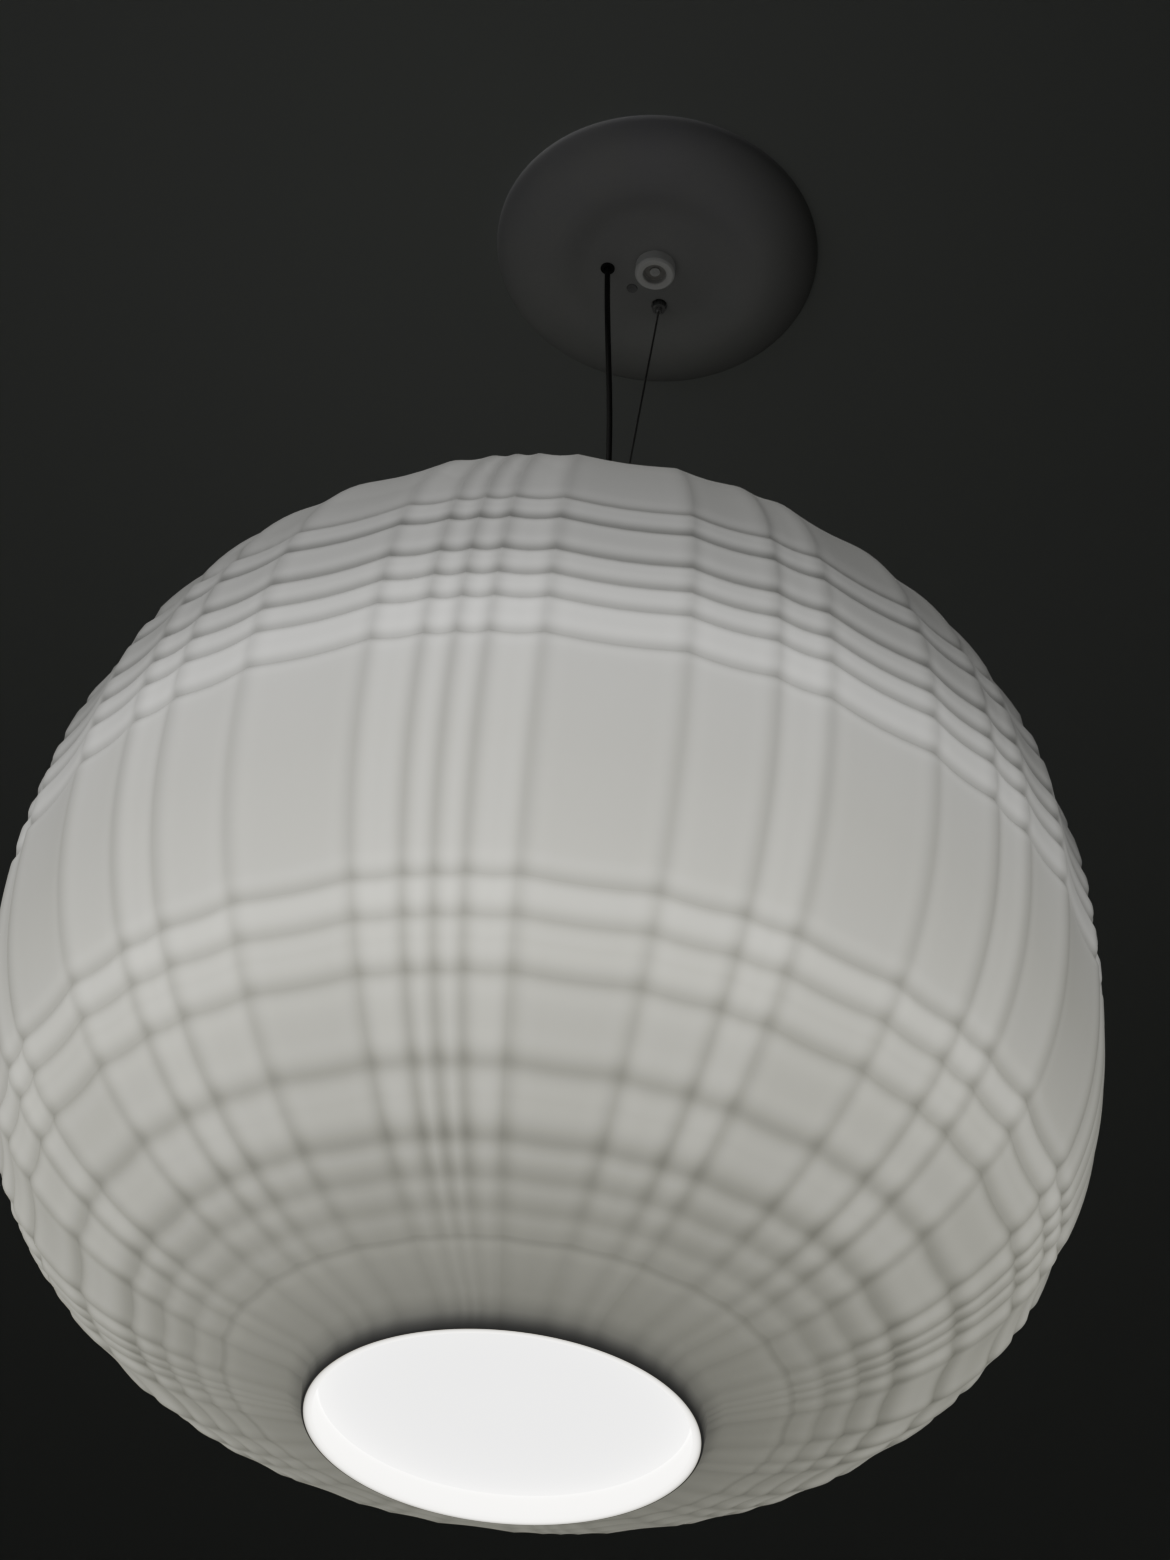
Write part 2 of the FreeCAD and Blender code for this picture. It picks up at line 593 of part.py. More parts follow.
def hub():
    """Hub with a flange above the cover and a hollow threaded barrel through the shade's top hole."""
    edge = 0.8
    body = turned([(0, COVER_TOP), (0, HUB_TOP), (HUB_FLANGE_RADIUS - edge, HUB_TOP),
                   (HUB_FLANGE_RADIUS, HUB_TOP - edge), (HUB_FLANGE_RADIUS, COVER_TOP), (HUB_RADIUS, COVER_TOP),
                   (HUB_RADIUS, HUB_LOW), (0, HUB_LOW)])
    body = body.cut(rod(HUB_CHAMBER, HUB_LOW - 1, CHAMBER_TOP))
    body = body.cut(rod(WIRE_RADIUS + THREAD_GAP, CHAMBER_TOP - 1, HUB_TOP + 1, WIRE_HOLE))
    return body.cut(rod(BUSH_HOLE_RADIUS, CHAMBER_TOP - 1, HUB_TOP + 1))


def hub_cord_bush():
    """Bush that lines the cord's hole in the hub."""
    bore = CORD_RADIUS + CORD_GAP
    top = HUB_TOP + BUSH_FLANGE
    return turned([(bore, CHAMBER_TOP), (BUSH_HOLE_RADIUS, CHAMBER_TOP), (BUSH_HOLE_RADIUS, HUB_TOP),
                   (BUSH_FLANGE_RADIUS, HUB_TOP), (BUSH_FLANGE_RADIUS - 0.4, top), (bore, top)])


def top_cover():
    """Shallow spun cover over the shade's top land."""
    hole = HUB_RADIUS + LOOSE_GAP / 2
    seat = COVER_SEAT
    wall = COVER_WALL
    shoulder = COVER_FLAT_RADIUS + COVER_SHOULDER
    step = COVER_TOP - COVER_STEP
    return turned([(GASKET_INSIDE, seat), (COVER_RADIUS, seat), (COVER_RADIUS, seat - COVER_LIP),
                   (COVER_RADIUS + wall, seat - COVER_LIP), (COVER_RADIUS + wall, seat + wall / 2),
                   (COVER_RADIUS + wall / 2, seat + wall), (GASKET_INSIDE + wall / 2, seat + wall),
                   (shoulder, step), (COVER_FLAT_RADIUS, COVER_TOP), (hole, COVER_TOP),
                   (hole, COVER_TOP - wall), (COVER_FLAT_RADIUS, COVER_TOP - wall),
                   (shoulder - wall / 2, step - wall)])


def gasket(low):
    """Flat rubber ring on one side of the shade's top land."""
    return tube(LAND_RADIUS - GASKET_INSET, GASKET_INSIDE, low, low + GASKET)


def carrier_plate():
    """Disc that lifts the shade from inside, with a pressed step round its hole."""
    hole = HUB_RADIUS + LOOSE_GAP / 2
    step = RING_NUT_RADIUS + CARRIER_STEP_WIDTH
    down = CARRIER_STEP
    return turned([(hole, CARRIER_LOW - down), (step, CARRIER_LOW - down), (step + down, CARRIER_LOW),
                   (CARRIER_RADIUS, CARRIER_LOW), (CARRIER_RADIUS, CARRIER_TOP), (step + down, CARRIER_TOP),
                   (step, CARRIER_TOP - down), (hole, CARRIER_TOP - down)])


def ring_nut():
    """Ring nut under the carrier plate, with four spanner notches."""
    top = CARRIER_LOW - CARRIER_STEP
    nut = tube(RING_NUT_RADIUS, HUB_RADIUS, top - RING_NUT_HEIGHT, top)
    for i in range(4):
        x, y = polar((RING_NUT_RADIUS, 90 * i + 45))
        nut = nut.cut(rod(2.5, top - RING_NUT_HEIGHT - 1, top - 2, (x, y)))
    return nut


def hub_bush():
    """Threaded bush that closes the hub's chamber and takes the stem."""
    return tube(HUB_CHAMBER, STEM_RADIUS, HUB_LOW, HUB_LOW + HUB_BUSH_HEIGHT)


def stem_tube():
    """Hollow stem that carries the lampholder."""
    return tube(STEM_RADIUS, STEM_BORE, STEM_LOW, STEM_TOP)


def stem_nuts():
    """Lock nuts at the stem's two ends."""
    nuts = []
    for low in (HUB_LOW - STEM_NUT_HEIGHT, HOLDER_TOP):
        nut = hexagon(STEM_NUT_FLATS, low, low + STEM_NUT_HEIGHT)
        nuts.append(nut.cut(rod(STEM_RADIUS, low - 1, low + STEM_NUT_HEIGHT + 1)))
    return Part.makeCompound(nuts)


def lampholder_cap():
    """Domed cap of the lampholder."""
    outer = HOLDER_RADIUS
    inner = HOLDER_RADIUS - HOLDER_WALL
    return turned([(STEM_RADIUS, HOLDER_TOP), (outer - 9, HOLDER_TOP), (outer - 1.5, HOLDER_TOP - 8),
                   (outer, HOLDER_TOP - 12), (outer, SKIRT_TOP), (inner, SKIRT_TOP), (inner, HOLDER_TOP - 12),
                   (inner - 1.5, HOLDER_TOP - 9), (outer - 9.5, HOLDER_TOP - HOLDER_WALL),
                   (STEM_RADIUS, HOLDER_TOP - HOLDER_WALL)])


def lampholder_skirt():
    """Straight skirt below the lampholder's cap, flared a little at its mouth."""
    outer = HOLDER_RADIUS
    inner = HOLDER_RADIUS - HOLDER_WALL
    return turned([(inner, SKIRT_LOW), (outer + 0.8, SKIRT_LOW), (outer + 0.8, SKIRT_LOW + 2),
                   (outer, SKIRT_LOW + 4), (outer, SKIRT_TOP), (inner, SKIRT_TOP)])


def lampholder_core():
    """Ceramic core that carries the contacts."""
    return rod(HOLDER_RADIUS - HOLDER_WALL, SHELL_TOP, SHELL_TOP + CORE_HEIGHT)


def threaded_shell():
    """Thin shell that the bulb's base screws into."""
    return tube(SHELL_RADIUS + SHELL_WALL, SHELL_RADIUS, SHELL_LOW, SHELL_TOP)


def centre_contact():
    """Sprung tongue under the core."""
    low = SHELL_TOP - CONTACT_SLOPE
    points = [V(-6, 0, SHELL_TOP), V(2, 0, low), V(3, 0, low), V(3, 0, low - CONTACT_WALL),
              V(2, 0, low - CONTACT_WALL), V(-8, 0, SHELL_TOP - CONTACT_WALL), V(-8, 0, SHELL_TOP)]
    face = Part.Face(Part.makePolygon(points + points[:1]))
    tongue = face.extrude(V(0, CONTACT_WIDTH, 0))
    tongue.translate(V(0, -CONTACT_WIDTH / 2, 0))
    return tongue


def bulb_base():
    """Screw base of the bulb with its rolled thread and contact tip."""
    tip = SHELL_TOP - CONTACT_SLOPE - CONTACT_WALL - LOOSE_GAP
    top = tip - BASE_TIP
    outline = [(0, tip), (BASE_TIP, tip), (BASE_RADIUS - 2 * THREAD_DEPTH, top)]
    for i in range(int((top - BASE_LOW) / THREAD_PITCH)):
        height = top - (i + 0.5) * THREAD_PITCH
        outline.append((BASE_RADIUS, height))
        outline.append((BASE_RADIUS - THREAD_DEPTH, height - THREAD_PITCH / 2))
    outline += [(BASE_RADIUS, BASE_LOW), (0, BASE_LOW)]
    return turned(outline)


def bulb_globe():
    """Round glass globe with a neck that grows out of the base."""
    outside = Part.makeSphere(GLOBE_RADIUS, V(0, 0, GLOBE_MIDDLE))
    neck = turned([(0, GLOBE_TOP), (GLOBE_NECK_RADIUS, GLOBE_TOP), (BASE_RADIUS, BASE_LOW), (0, BASE_LOW)])
    inside = Part.makeSphere(GLOBE_RADIUS - GLOBE_WALL, V(0, 0, GLOBE_MIDDLE))
    bore = rod(BASE_RADIUS - GLOBE_WALL, GLOBE_MIDDLE, BASE_LOW - GLOBE_WALL)
    return outside.fuse(neck).cut(inside.fuse(bore))


def ring_of_ridges():
    """Corners of one level of the relief, as an angle and a share of the level's ridge radius."""
    corners = []
    angle = RIDGE_START
    for gap in RIDGE_GAPS * 4:
        corners.append((angle, 1.0))
        if gap >= WIDE_GAP:
            hollow = FLUTE_DEPTH / SHADE_RADIUS * gap / max(RIDGE_GAPS)
            corners.append((angle + gap / 2, math.cos(math.radians(gap / 2)) - hollow))
        angle += gap
    return corners


def level(radius, height, corners):
    """Closed outline of one level of the shade."""
    points = []
    for angle, share in corners:
        x, y = polar((radius * share, angle))
        points.append(V(x, y, height))
    return Part.makePolygon(points + points[:1])


def relief_levels():
    """Radius and height of each level of the outside, from the land down to the lip."""
    levels = [(LAND_RADIUS, LAND)]
    start = math.degrees(math.asin((GROOVE_HEIGHTS[0] / SHADE_RISE) ** (RISE_POWER / 2)))
    end = math.degrees(math.acos((LAND_RADIUS / SHADE_RADIUS) ** (RISE_POWER / 2)))
    steps = 5
    for i in range(1, steps):
        levels.append(rise_point(end + (start - end) * i / steps))
    for here, below in zip(GROOVE_HEIGHTS, GROOVE_HEIGHTS[1:] + [None]):
        levels.append((outline_radius(here) - GROOVE_DEPTH, here))
        if below is None:
            break
        gap = here - below
        if gap < WIDE_BAND:
            crowns = [here - gap / 2]
        else:
            inner = gap - 2 * GROOVE_SHOULDER
            crowns = [here - GROOVE_SHOULDER - inner * k / 3 for k in range(4)]
        for height in crowns:
            levels.append((outline_radius(height) + BAND_CROWN, height))
    last = outline_radius(GROOVE_HEIGHTS[-1])
    between = (last + NECK_SHOULDER) / 2
    levels.append((between, outline_depth(between)))
    levels.append((NECK_SHOULDER, outline_depth(NECK_SHOULDER)))
    levels.append((NECK_OUTER + 1.5, -NECK_WAIST))
    levels.append((NECK_OUTER, LIP))
    return levels


def cavity_levels():
    """Radius and height of each level of the inside, from under the land down to the neck."""
    inset = SHADE_WALL + GROOVE_DEPTH
    radius = SHADE_RADIUS - inset
    rise = SHADE_RISE - inset
    fall = SHADE_FALL - inset
    heights = [INNER_LAND * math.sin(math.radians(90 * k / 6)) for k in range(6, 0, -1)]
    levels = [(outline_radius(h, radius, rise, fall), h) for h in heights]
    levels.append((radius, 0.0))
    bottom = -outline_depth(NECK_BORE, radius, fall)
    depths = [bottom * math.sin(math.radians(90 * k / 7)) for k in range(1, 8)]
    return levels + [(outline_radius(-d, radius, rise, fall), -d) for d in depths]


def diffuser_shade():
    """Shade with its plaid relief: levels of ridges and hollows ruled together, hollow inside, open at both ends."""
    corners = ring_of_ridges()
    outside = Part.makeLoft([level(r, z, corners) for r, z in relief_levels()], True, True)
    inside = Part.makeLoft([level(r, z, corners) for r, z in cavity_levels()], True, True)
    shade = outside.cut(inside)
    shade = shade.cut(rod(TOP_HOLE_RADIUS, INNER_LAND - 5, LAND + 5))
    return shade.cut(rod(NECK_BORE, LIP - 5, DISC_TOP + NECK_SHELF))


def diffuser_disc():
    """Flat opal disc with softened edges that closes the bottom opening."""
    edge = NECK_BORE - DISC_GAP
    soft = 0.6
    return turned([(0, DISC_LOW), (edge - soft, DISC_LOW), (edge, DISC_LOW + soft), (edge, DISC_TOP), (0, DISC_TOP)])


def disc_clips():
    """Spring clips on the disc that hook over the neck inside the shade."""
    end = NECK_BORE + CLIP_REACH
    crest = NECK_BORE - CLIP_CREST
    foot = NECK_BORE - CLIP_FOOT
    rest = DISC_TOP + CLIP_REST
    high = DISC_TOP + CLIP_RISE
    points = [(CLIP_INSIDE, DISC_TOP), (foot, DISC_TOP), (crest, high), (end, rest), (end, rest + CLIP_WALL),
              (crest, high + CLIP_WALL), (foot - CLIP_WALL, DISC_TOP + CLIP_WALL), (CLIP_INSIDE, DISC_TOP + CLIP_WALL)]
    outline = [V(r, -CLIP_WIDTH / 2, z) for r, z in points]
    clips = []
    for i in range(CLIP_COUNT):
        clip = Part.Face(Part.makePolygon(outline + outline[:1])).extrude(V(0, CLIP_WIDTH, 0))
        clip.rotate(V(0, 0, 0), UP, 360.0 / CLIP_COUNT * i + CLIP_TURN)
        clips.append(clip)
    return Part.makeCompound(clips)


os.makedirs("parts", exist_ok=True)

ROSE_PIECES = {
    "ceiling_plate": ceiling_plate,
    "plate_stud": plate_stud,
    "stud_nut": stud_nut,
    "rose_dome": rose_dome,
    "rose_cap_nut": rose_cap_nut,
    "cord_bush": cord_bush,
    "blanking_plug": blanking_plug,
    "gripper_body": gripper_body,
    "gripper_plunger": gripper_plunger,
    "gripper_spring": gripper_spring,
    "gripper_balls": gripper_balls,
    "cord_grip": cord_grip,
    "grip_screw": grip_screw,
    "terminal_block": terminal_block,
    "terminal_screws": terminal_screws,
    "earth_screw": earth_screw,
    "wire_grip_end": wire_grip_end,
    "suspension_wire": suspension_wire,
    "power_cord": power_cord,
}

LAMP_PIECES = {
    "wire_ferrule": wire_ferrule,
    "hub": hub,
    "hub_cord_bush": hub_cord_bush,
    "top_cover": top_cover,
    "upper_gasket": lambda: gasket(LAND),
    "lower_gasket": lambda: gasket(CARRIER_TOP),
    "carrier_plate": carrier_plate,
    "ring_nut": ring_nut,
    "hub_bush": hub_bush,
    "stem_tube": stem_tube,
    "stem_nuts": stem_nuts,
    "lampholder_cap": lampholder_cap,
    "lampholder_skirt": lampholder_skirt,
    "lampholder_core": lampholder_core,
    "threaded_shell": threaded_shell,
    "centre_contact": centre_contact,
    "bulb_base": bulb_base,
    "bulb_globe": bulb_globe,
    "diffuser_shade": diffuser_shade,
    "diffuser_disc": diffuser_disc,
    "disc_clips": disc_clips,
}

for name, make in ROSE_PIECES.items():
    save(name, make())

for name, make in LAMP_PIECES.items():
    save(name, hang(make()))
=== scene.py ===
import math

import bpy
import numpy as np
from mathutils import Matrix, Vector


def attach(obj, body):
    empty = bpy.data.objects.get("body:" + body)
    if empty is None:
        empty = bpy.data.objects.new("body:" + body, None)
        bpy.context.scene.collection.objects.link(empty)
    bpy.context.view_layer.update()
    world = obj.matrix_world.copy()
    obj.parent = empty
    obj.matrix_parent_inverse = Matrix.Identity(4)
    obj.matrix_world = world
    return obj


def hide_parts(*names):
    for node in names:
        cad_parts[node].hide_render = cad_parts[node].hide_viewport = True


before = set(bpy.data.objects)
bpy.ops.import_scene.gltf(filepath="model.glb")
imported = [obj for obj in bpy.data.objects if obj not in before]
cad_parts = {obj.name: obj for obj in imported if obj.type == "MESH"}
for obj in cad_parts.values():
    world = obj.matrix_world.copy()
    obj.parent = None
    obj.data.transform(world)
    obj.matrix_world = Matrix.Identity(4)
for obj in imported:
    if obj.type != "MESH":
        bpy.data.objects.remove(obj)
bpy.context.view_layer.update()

MM = 0.001


def polar(radius, angle):
    """Point in the plane at a radius and an angle in degrees."""
    return np.array([radius * math.cos(math.radians(angle)), radius * math.sin(math.radians(angle))])


def towards(start, end, distance):
    """Point at a distance from a start, on the line to an end."""
    return start + (end - start) * distance / np.linalg.norm(end - start)


# Places on the ceiling in mm, as in the part's source
EXIT_RADIUS = 28.5         # of the wire and the cord in the rose
WIRE = polar(EXIT_RADIUS, 80.0)
CORD = polar(EXIT_RADIUS, 170.0)
LAMP = towards(WIRE, CORD, 25.6)
WIRE_FOOT = towards(LAMP, WIRE, 6.5)
DROP = 560.0               # ceiling to the shade's widest level

# Shade in mm, heights from its widest level
RADIUS = 250.0
RISE = 245.0
FALL = 205.5
RISE_POWER = 2.2
FALL_POWER = 2.5
WALL = 4.3                 # to the smooth hollow inside
LAND_RADIUS = 70.0
LAND_THICKNESS = 7.0
LAND_FADE = 12.0           # height over which the relief grows below the land
TOP_HOLE = 50.0
HOLE_EDGE = 0.6            # broken edge of the top hole
NECK_SHOULDER = 90.0
NECK_WAIST = -203.0
NECK_OUTER = 82.0
NECK_BORE = 77.3
LIP = -210.5
BORE_TOP = -195.0
LIP_ROUND = 1.0

# Plaid relief
GROOVES = [93.0, 75.0, 51.0, 35.0, 20.5, 0.0, -106.0, -119.0, -135.5, -159.0, -175.0, -182.0, -187.5, -192.0]
GROOVE_DEPTH = 1.3
BAND_CROWN = 0.6
SWELL_REACH = 6.0
RIDGE_GAPS = np.array([5.0, 3.0, 3.0, 5.0, 13.0, 8.5, 5.5, 12.0, 8.5, 5.5, 8.5, 12.5] * 4)
RIDGE_START = -109.9
FLUTE_FLOOR = 1.1
FLUTE_DEPTH = 0.8
COLUMN_SHARES = np.array([0.0, 0.04, 0.12, 0.3, 0.5, 0.7, 0.88, 0.96])  # of a gap between ridges
BESIDE_GROOVE = np.array([0.0, 0.35, 0.9, 1.7, 2.8, 4.2, 6.0])  # distances of the rows beside a groove
NO_LINE = 30.0             # distance mark where no groove is near
DOME_BAND = 60.0           # band height marks of the stretches without grooves
NECK_BAND = 20.0
INSIDE_BAND = 40.0
ROW_SPACING = 7.0          # of the rows between two grooves
LINE_ROOM = 9.0            # a cell or band narrower than this squeezes the lines at its edges
HOLLOW_START = 8.0         # the hollow's first ring outside the bore
HOLLOW_FADE = 20.0         # height over which the relief grows in the hollow

# Fittings above the shade's land
GASKET = 2.0
COVER_WALL = 1.2
COVER_RISE = 13.0
HUB_FLANGE = 4.0
HUB_LENGTH = 42.0
HUB_TOP_WALL = 3.0
HUB_BUSH_HEIGHT = 8.0
FERRULE_LENGTH = 9.0
LAND = RISE * (1 - (LAND_RADIUS / RADIUS) ** RISE_POWER) ** (1 / RISE_POWER)
HUB_TOP = LAND + GASKET + COVER_WALL + COVER_RISE + HUB_FLANGE
STEM_TOP = HUB_TOP - HUB_FLANGE - HUB_LENGTH + HUB_BUSH_HEIGHT

# Camera, from the lamp's axis and its widest level
CAMERA_BACK = 977.0
CAMERA_BELOW = 725.7
CAMERA_PITCH = 41.766
CAMERA_YAW = 0.362
CAMERA_ROLL = 5.960
CAMERA_LENS = 61.03


def aim_camera(place, pitch, yaw, roll, lens):
    """Camera that looks up by a pitch, turned by a yaw from +Y and rolled about its own line of sight."""
    p, y, r = math.radians(pitch), math.radians(yaw), math.radians(roll)
    forward = Vector((math.sin(y) * math.cos(p), math.cos(y) * math.cos(p), math.sin(p)))
    level = Vector((math.cos(y), -math.sin(y), 0))
    right = level * math.cos(r) + level.cross(forward) * math.sin(r)
    up = right.cross(forward)
    turn = Matrix((right, up, -forward)).transposed().to_4x4()
    data = bpy.data.cameras.new("camera")
    data.lens = lens
    data.sensor_width = 36
    data.clip_start = 0.01
    camera = bpy.data.objects.new("camera", data)
    bpy.context.scene.collection.objects.link(camera)
    camera.matrix_world = Matrix.Translation(place) @ turn
    bpy.context.scene.camera = camera


aim_camera(Vector((LAMP[0] * MM, (LAMP[1] - CAMERA_BACK) * MM, -(DROP + CAMERA_BELOW) * MM)),
           CAMERA_PITCH, CAMERA_YAW, CAMERA_ROLL, CAMERA_LENS)


# Node helpers

def add(tree, kind, **values):
    """Node of a kind in a tree, with numbers for its inputs by name."""
    node = tree.nodes.new(kind)
    for name, value in values.items():
        node.inputs[name].default_value = value
    return node


def math_node(tree, kind, a, b=None, c=None, clamp=False):
    """Maths node of one kind on links or numbers; returns its output."""
    node = tree.nodes.new("ShaderNodeMath")
    node.operation = kind
    node.use_clamp = clamp
    for slot, value in zip(node.inputs, (a, b, c)):
        if value is None:
            continue
        if isinstance(value, (int, float)):
            slot.default_value = value
        else:
            tree.links.new(value, slot)
    return node.outputs[0]


def fade(tree, value, start, end):
    """Mask of a position in metres, 0 at a start and 1 at an end, both in mm."""
    span = (end - start) * MM
    return math_node(tree, "MULTIPLY_ADD", value, 1 / span, -start * MM / span, clamp=True)


def flipped(tree, value):
    """One less a mask."""
    return math_node(tree, "SUBTRACT", 1.0, value)


def bell(tree, value):
    """Bell curve exp(-v^2) of a link."""
    square = math_node(tree, "MULTIPLY", value, value)
    return math_node(tree, "EXPONENT", math_node(tree, "MULTIPLY", square, -1.0))


def group(name, inputs, outputs):
    """Empty node group with named float or vector sockets; returns the tree and its two end nodes."""
    tree = bpy.data.node_groups.new(name, "ShaderNodeTree")
    for label, kind, value in inputs:
        made = tree.interface.new_socket(label, in_out="INPUT", socket_type="NodeSocket" + kind)
        if value is not None:
            made.default_value = value
    for label in outputs:
        tree.interface.new_socket(label, in_out="OUTPUT", socket_type="NodeSocketFloat")
    return tree, tree.nodes.new("NodeGroupInput"), tree.nodes.new("NodeGroupOutput")


def mottle_group():
    """Slow and fast noise on a position: a blotch mask, a grain mask, and both as one mix."""
    tree, start, end = group(
        "mottle",
        [("Position", "Vector", None), ("Blotch scale", "Float", 20.0), ("Grain scale", "Float", 900.0),
         ("Grain share", "Float", 0.4)],
        ["Blotch", "Grain", "Mix"])
    blotch = add(tree, "ShaderNodeTexNoise", Detail=3.0, Roughness=0.6)
    grain = add(tree, "ShaderNodeTexNoise", Detail=2.0, Roughness=0.7)
    for noise, label in ((blotch, "Blotch"), (grain, "Grain")):
        tree.links.new(start.outputs["Position"], noise.inputs["Vector"])
        tree.links.new(start.outputs[label + " scale"], noise.inputs["Scale"])
        tree.links.new(noise.outputs["Fac"], end.inputs[label])
    between = math_node(tree, "SUBTRACT", grain.outputs["Fac"], blotch.outputs["Fac"])
    mixed = math_node(tree, "MULTIPLY_ADD", between, start.outputs["Grain share"], blotch.outputs["Fac"])
    tree.links.new(mixed, end.inputs["Mix"])
    return tree


def line_group():
    """Brightness beside a moulded line at a distance d:
    1 - depth * exp(-(d / width)^2) + glow * exp(-((d - offset) / spread)^2)."""
    tree, start, end = group(
        "moulded_line",
        [("Distance", "Float", 0.0), ("Width", "Float", 2.0), ("Depth", "Float", 0.2),
         ("Offset", "Float", 5.0), ("Spread", "Float", 2.0), ("Glow", "Float", 0.05)],
        ["Factor"])
    read = start.outputs
    dark = bell(tree, math_node(tree, "DIVIDE", read["Distance"], read["Width"]))
    beside = math_node(tree, "SUBTRACT", read["Distance"], read["Offset"])
    bright = bell(tree, math_node(tree, "DIVIDE", beside, read["Spread"]))
    lowered = flipped(tree, math_node(tree, "MULTIPLY", dark, read["Depth"]))
    tree.links.new(math_node(tree, "MULTIPLY_ADD", bright, read["Glow"], lowered), end.inputs["Factor"])
    return tree


def wear_group():
    """Edge mask from a surface's pointiness, broken up by noise: 0 on flats and 1 on worn edges."""
    tree, start, end = group(
        "edge_wear",
        [("Pointiness", "Float", 0.5), ("Noise", "Float", 0.5), ("Reach", "Float", 0.06)],
        ["Mask"])
    sharper = math_node(tree, "SUBTRACT", start.outputs["Pointiness"], 0.5)
    edge = math_node(tree, "DIVIDE", sharper, start.outputs["Reach"], clamp=True)
    broken = math_node(tree, "ADD", start.outputs["Noise"], 0.25, clamp=True)
    tree.links.new(math_node(tree, "MULTIPLY", edge, broken), end.inputs["Mask"])
    return tree


MOTTLE = mottle_group()
MOULDED_LINE = line_group()
EDGE_WEAR = wear_group()


def place_group(tree, shared, **values):
    """Shared node group placed in a material with its own links and numbers."""
    node = tree.nodes.new("ShaderNodeGroup")
    node.node_tree = shared
    for name, value in values.items():
        slot = node.inputs[name.replace("_", " ")]
        if isinstance(value, (int, float)):
            slot.default_value = value
        else:
            tree.links.new(value, slot)
    return node


def mottled(tree, position, blotch, grain, share):
    """Outputs of the mottle group at a material's own scales."""
    return place_group(tree, MOTTLE, Position=position, Blotch_scale=blotch, Grain_scale=grain,
                       Grain_share=share).outputs


def colour_mix(tree, share, a, b):
    """Mix of two colours, each a link or three numbers, by a share; returns its output."""
    node = tree.nodes.new("ShaderNodeMix")
    node.data_type = "RGBA"
    for slot, value in ((node.inputs[0], share), (node.inputs[6], a), (node.inputs[7], b)):
        if isinstance(value, tuple):
            slot.default_value = value + (1.0,)
        else:
            tree.links.new(value, slot)
    return node.outputs[2]


def ramp(tree, value, stops):
    """Colour ramp over a link; stops are a place and a colour each."""
    node = tree.nodes.new("ShaderNodeValToRGB")
    tree.links.new(value, node.inputs["Fac"])
    marks = node.color_ramp.elements
    while len(marks) < len(stops):
        marks.new(0.5)
    for mark, (spot, colour) in zip(marks, stops):
        mark.position = spot
        mark.color = colour + (1.0,)
    return node.outputs["Color"]


def grey_ramp(tree, value, stops):
    """Ramp of greys over a link; stops are a place and a level each."""
    return ramp(tree, value, [(spot, (level,) * 3) for spot, level in stops])


def plain_surface(name, colour=(0.8, 0.8, 0.8), rough=0.5):
    """Material with its Principled shader, a colour and a roughness."""
    material = bpy.data.materials.new(name)
    material.use_nodes = True
    shader = material.node_tree.nodes["Principled BSDF"]
    shader.inputs["Base Color"].default_value = colour + (1.0,)
    shader.inputs["Roughness"].default_value = rough
    return material, material.node_tree, shader


def surface(name):
    """Material with its Principled shader and the position on the object."""
    material, tree, shader = plain_surface(name)
    return material, tree, shader, tree.nodes.new("ShaderNodeTexCoord").outputs["Object"]


def axes_of(tree, position):
    """The three parts of a position, as outputs X, Y and Z."""
    node = tree.nodes.new("ShaderNodeSeparateXYZ")
    tree.links.new(position, node.inputs["Vector"])
    return node.outputs


def from_axis(tree, axes):
    """Distance from the rose's axis in metres."""
    squares = [math_node(tree, "POWER", axes[label], 2.0) for label in ("X", "Y")]
    return math_node(tree, "POWER", math_node(tree, "ADD", *squares), 0.5)


def raise_grain(tree, shader, height, strength, distance):
    """Bump of a height mask on the shader's normal, its distance in metres."""
    raised = add(tree, "ShaderNodeBump", Strength=strength, Distance=distance)
    tree.links.new(height, raised.inputs["Height"])
    tree.links.new(raised.outputs["Normal"], shader.inputs["Normal"])


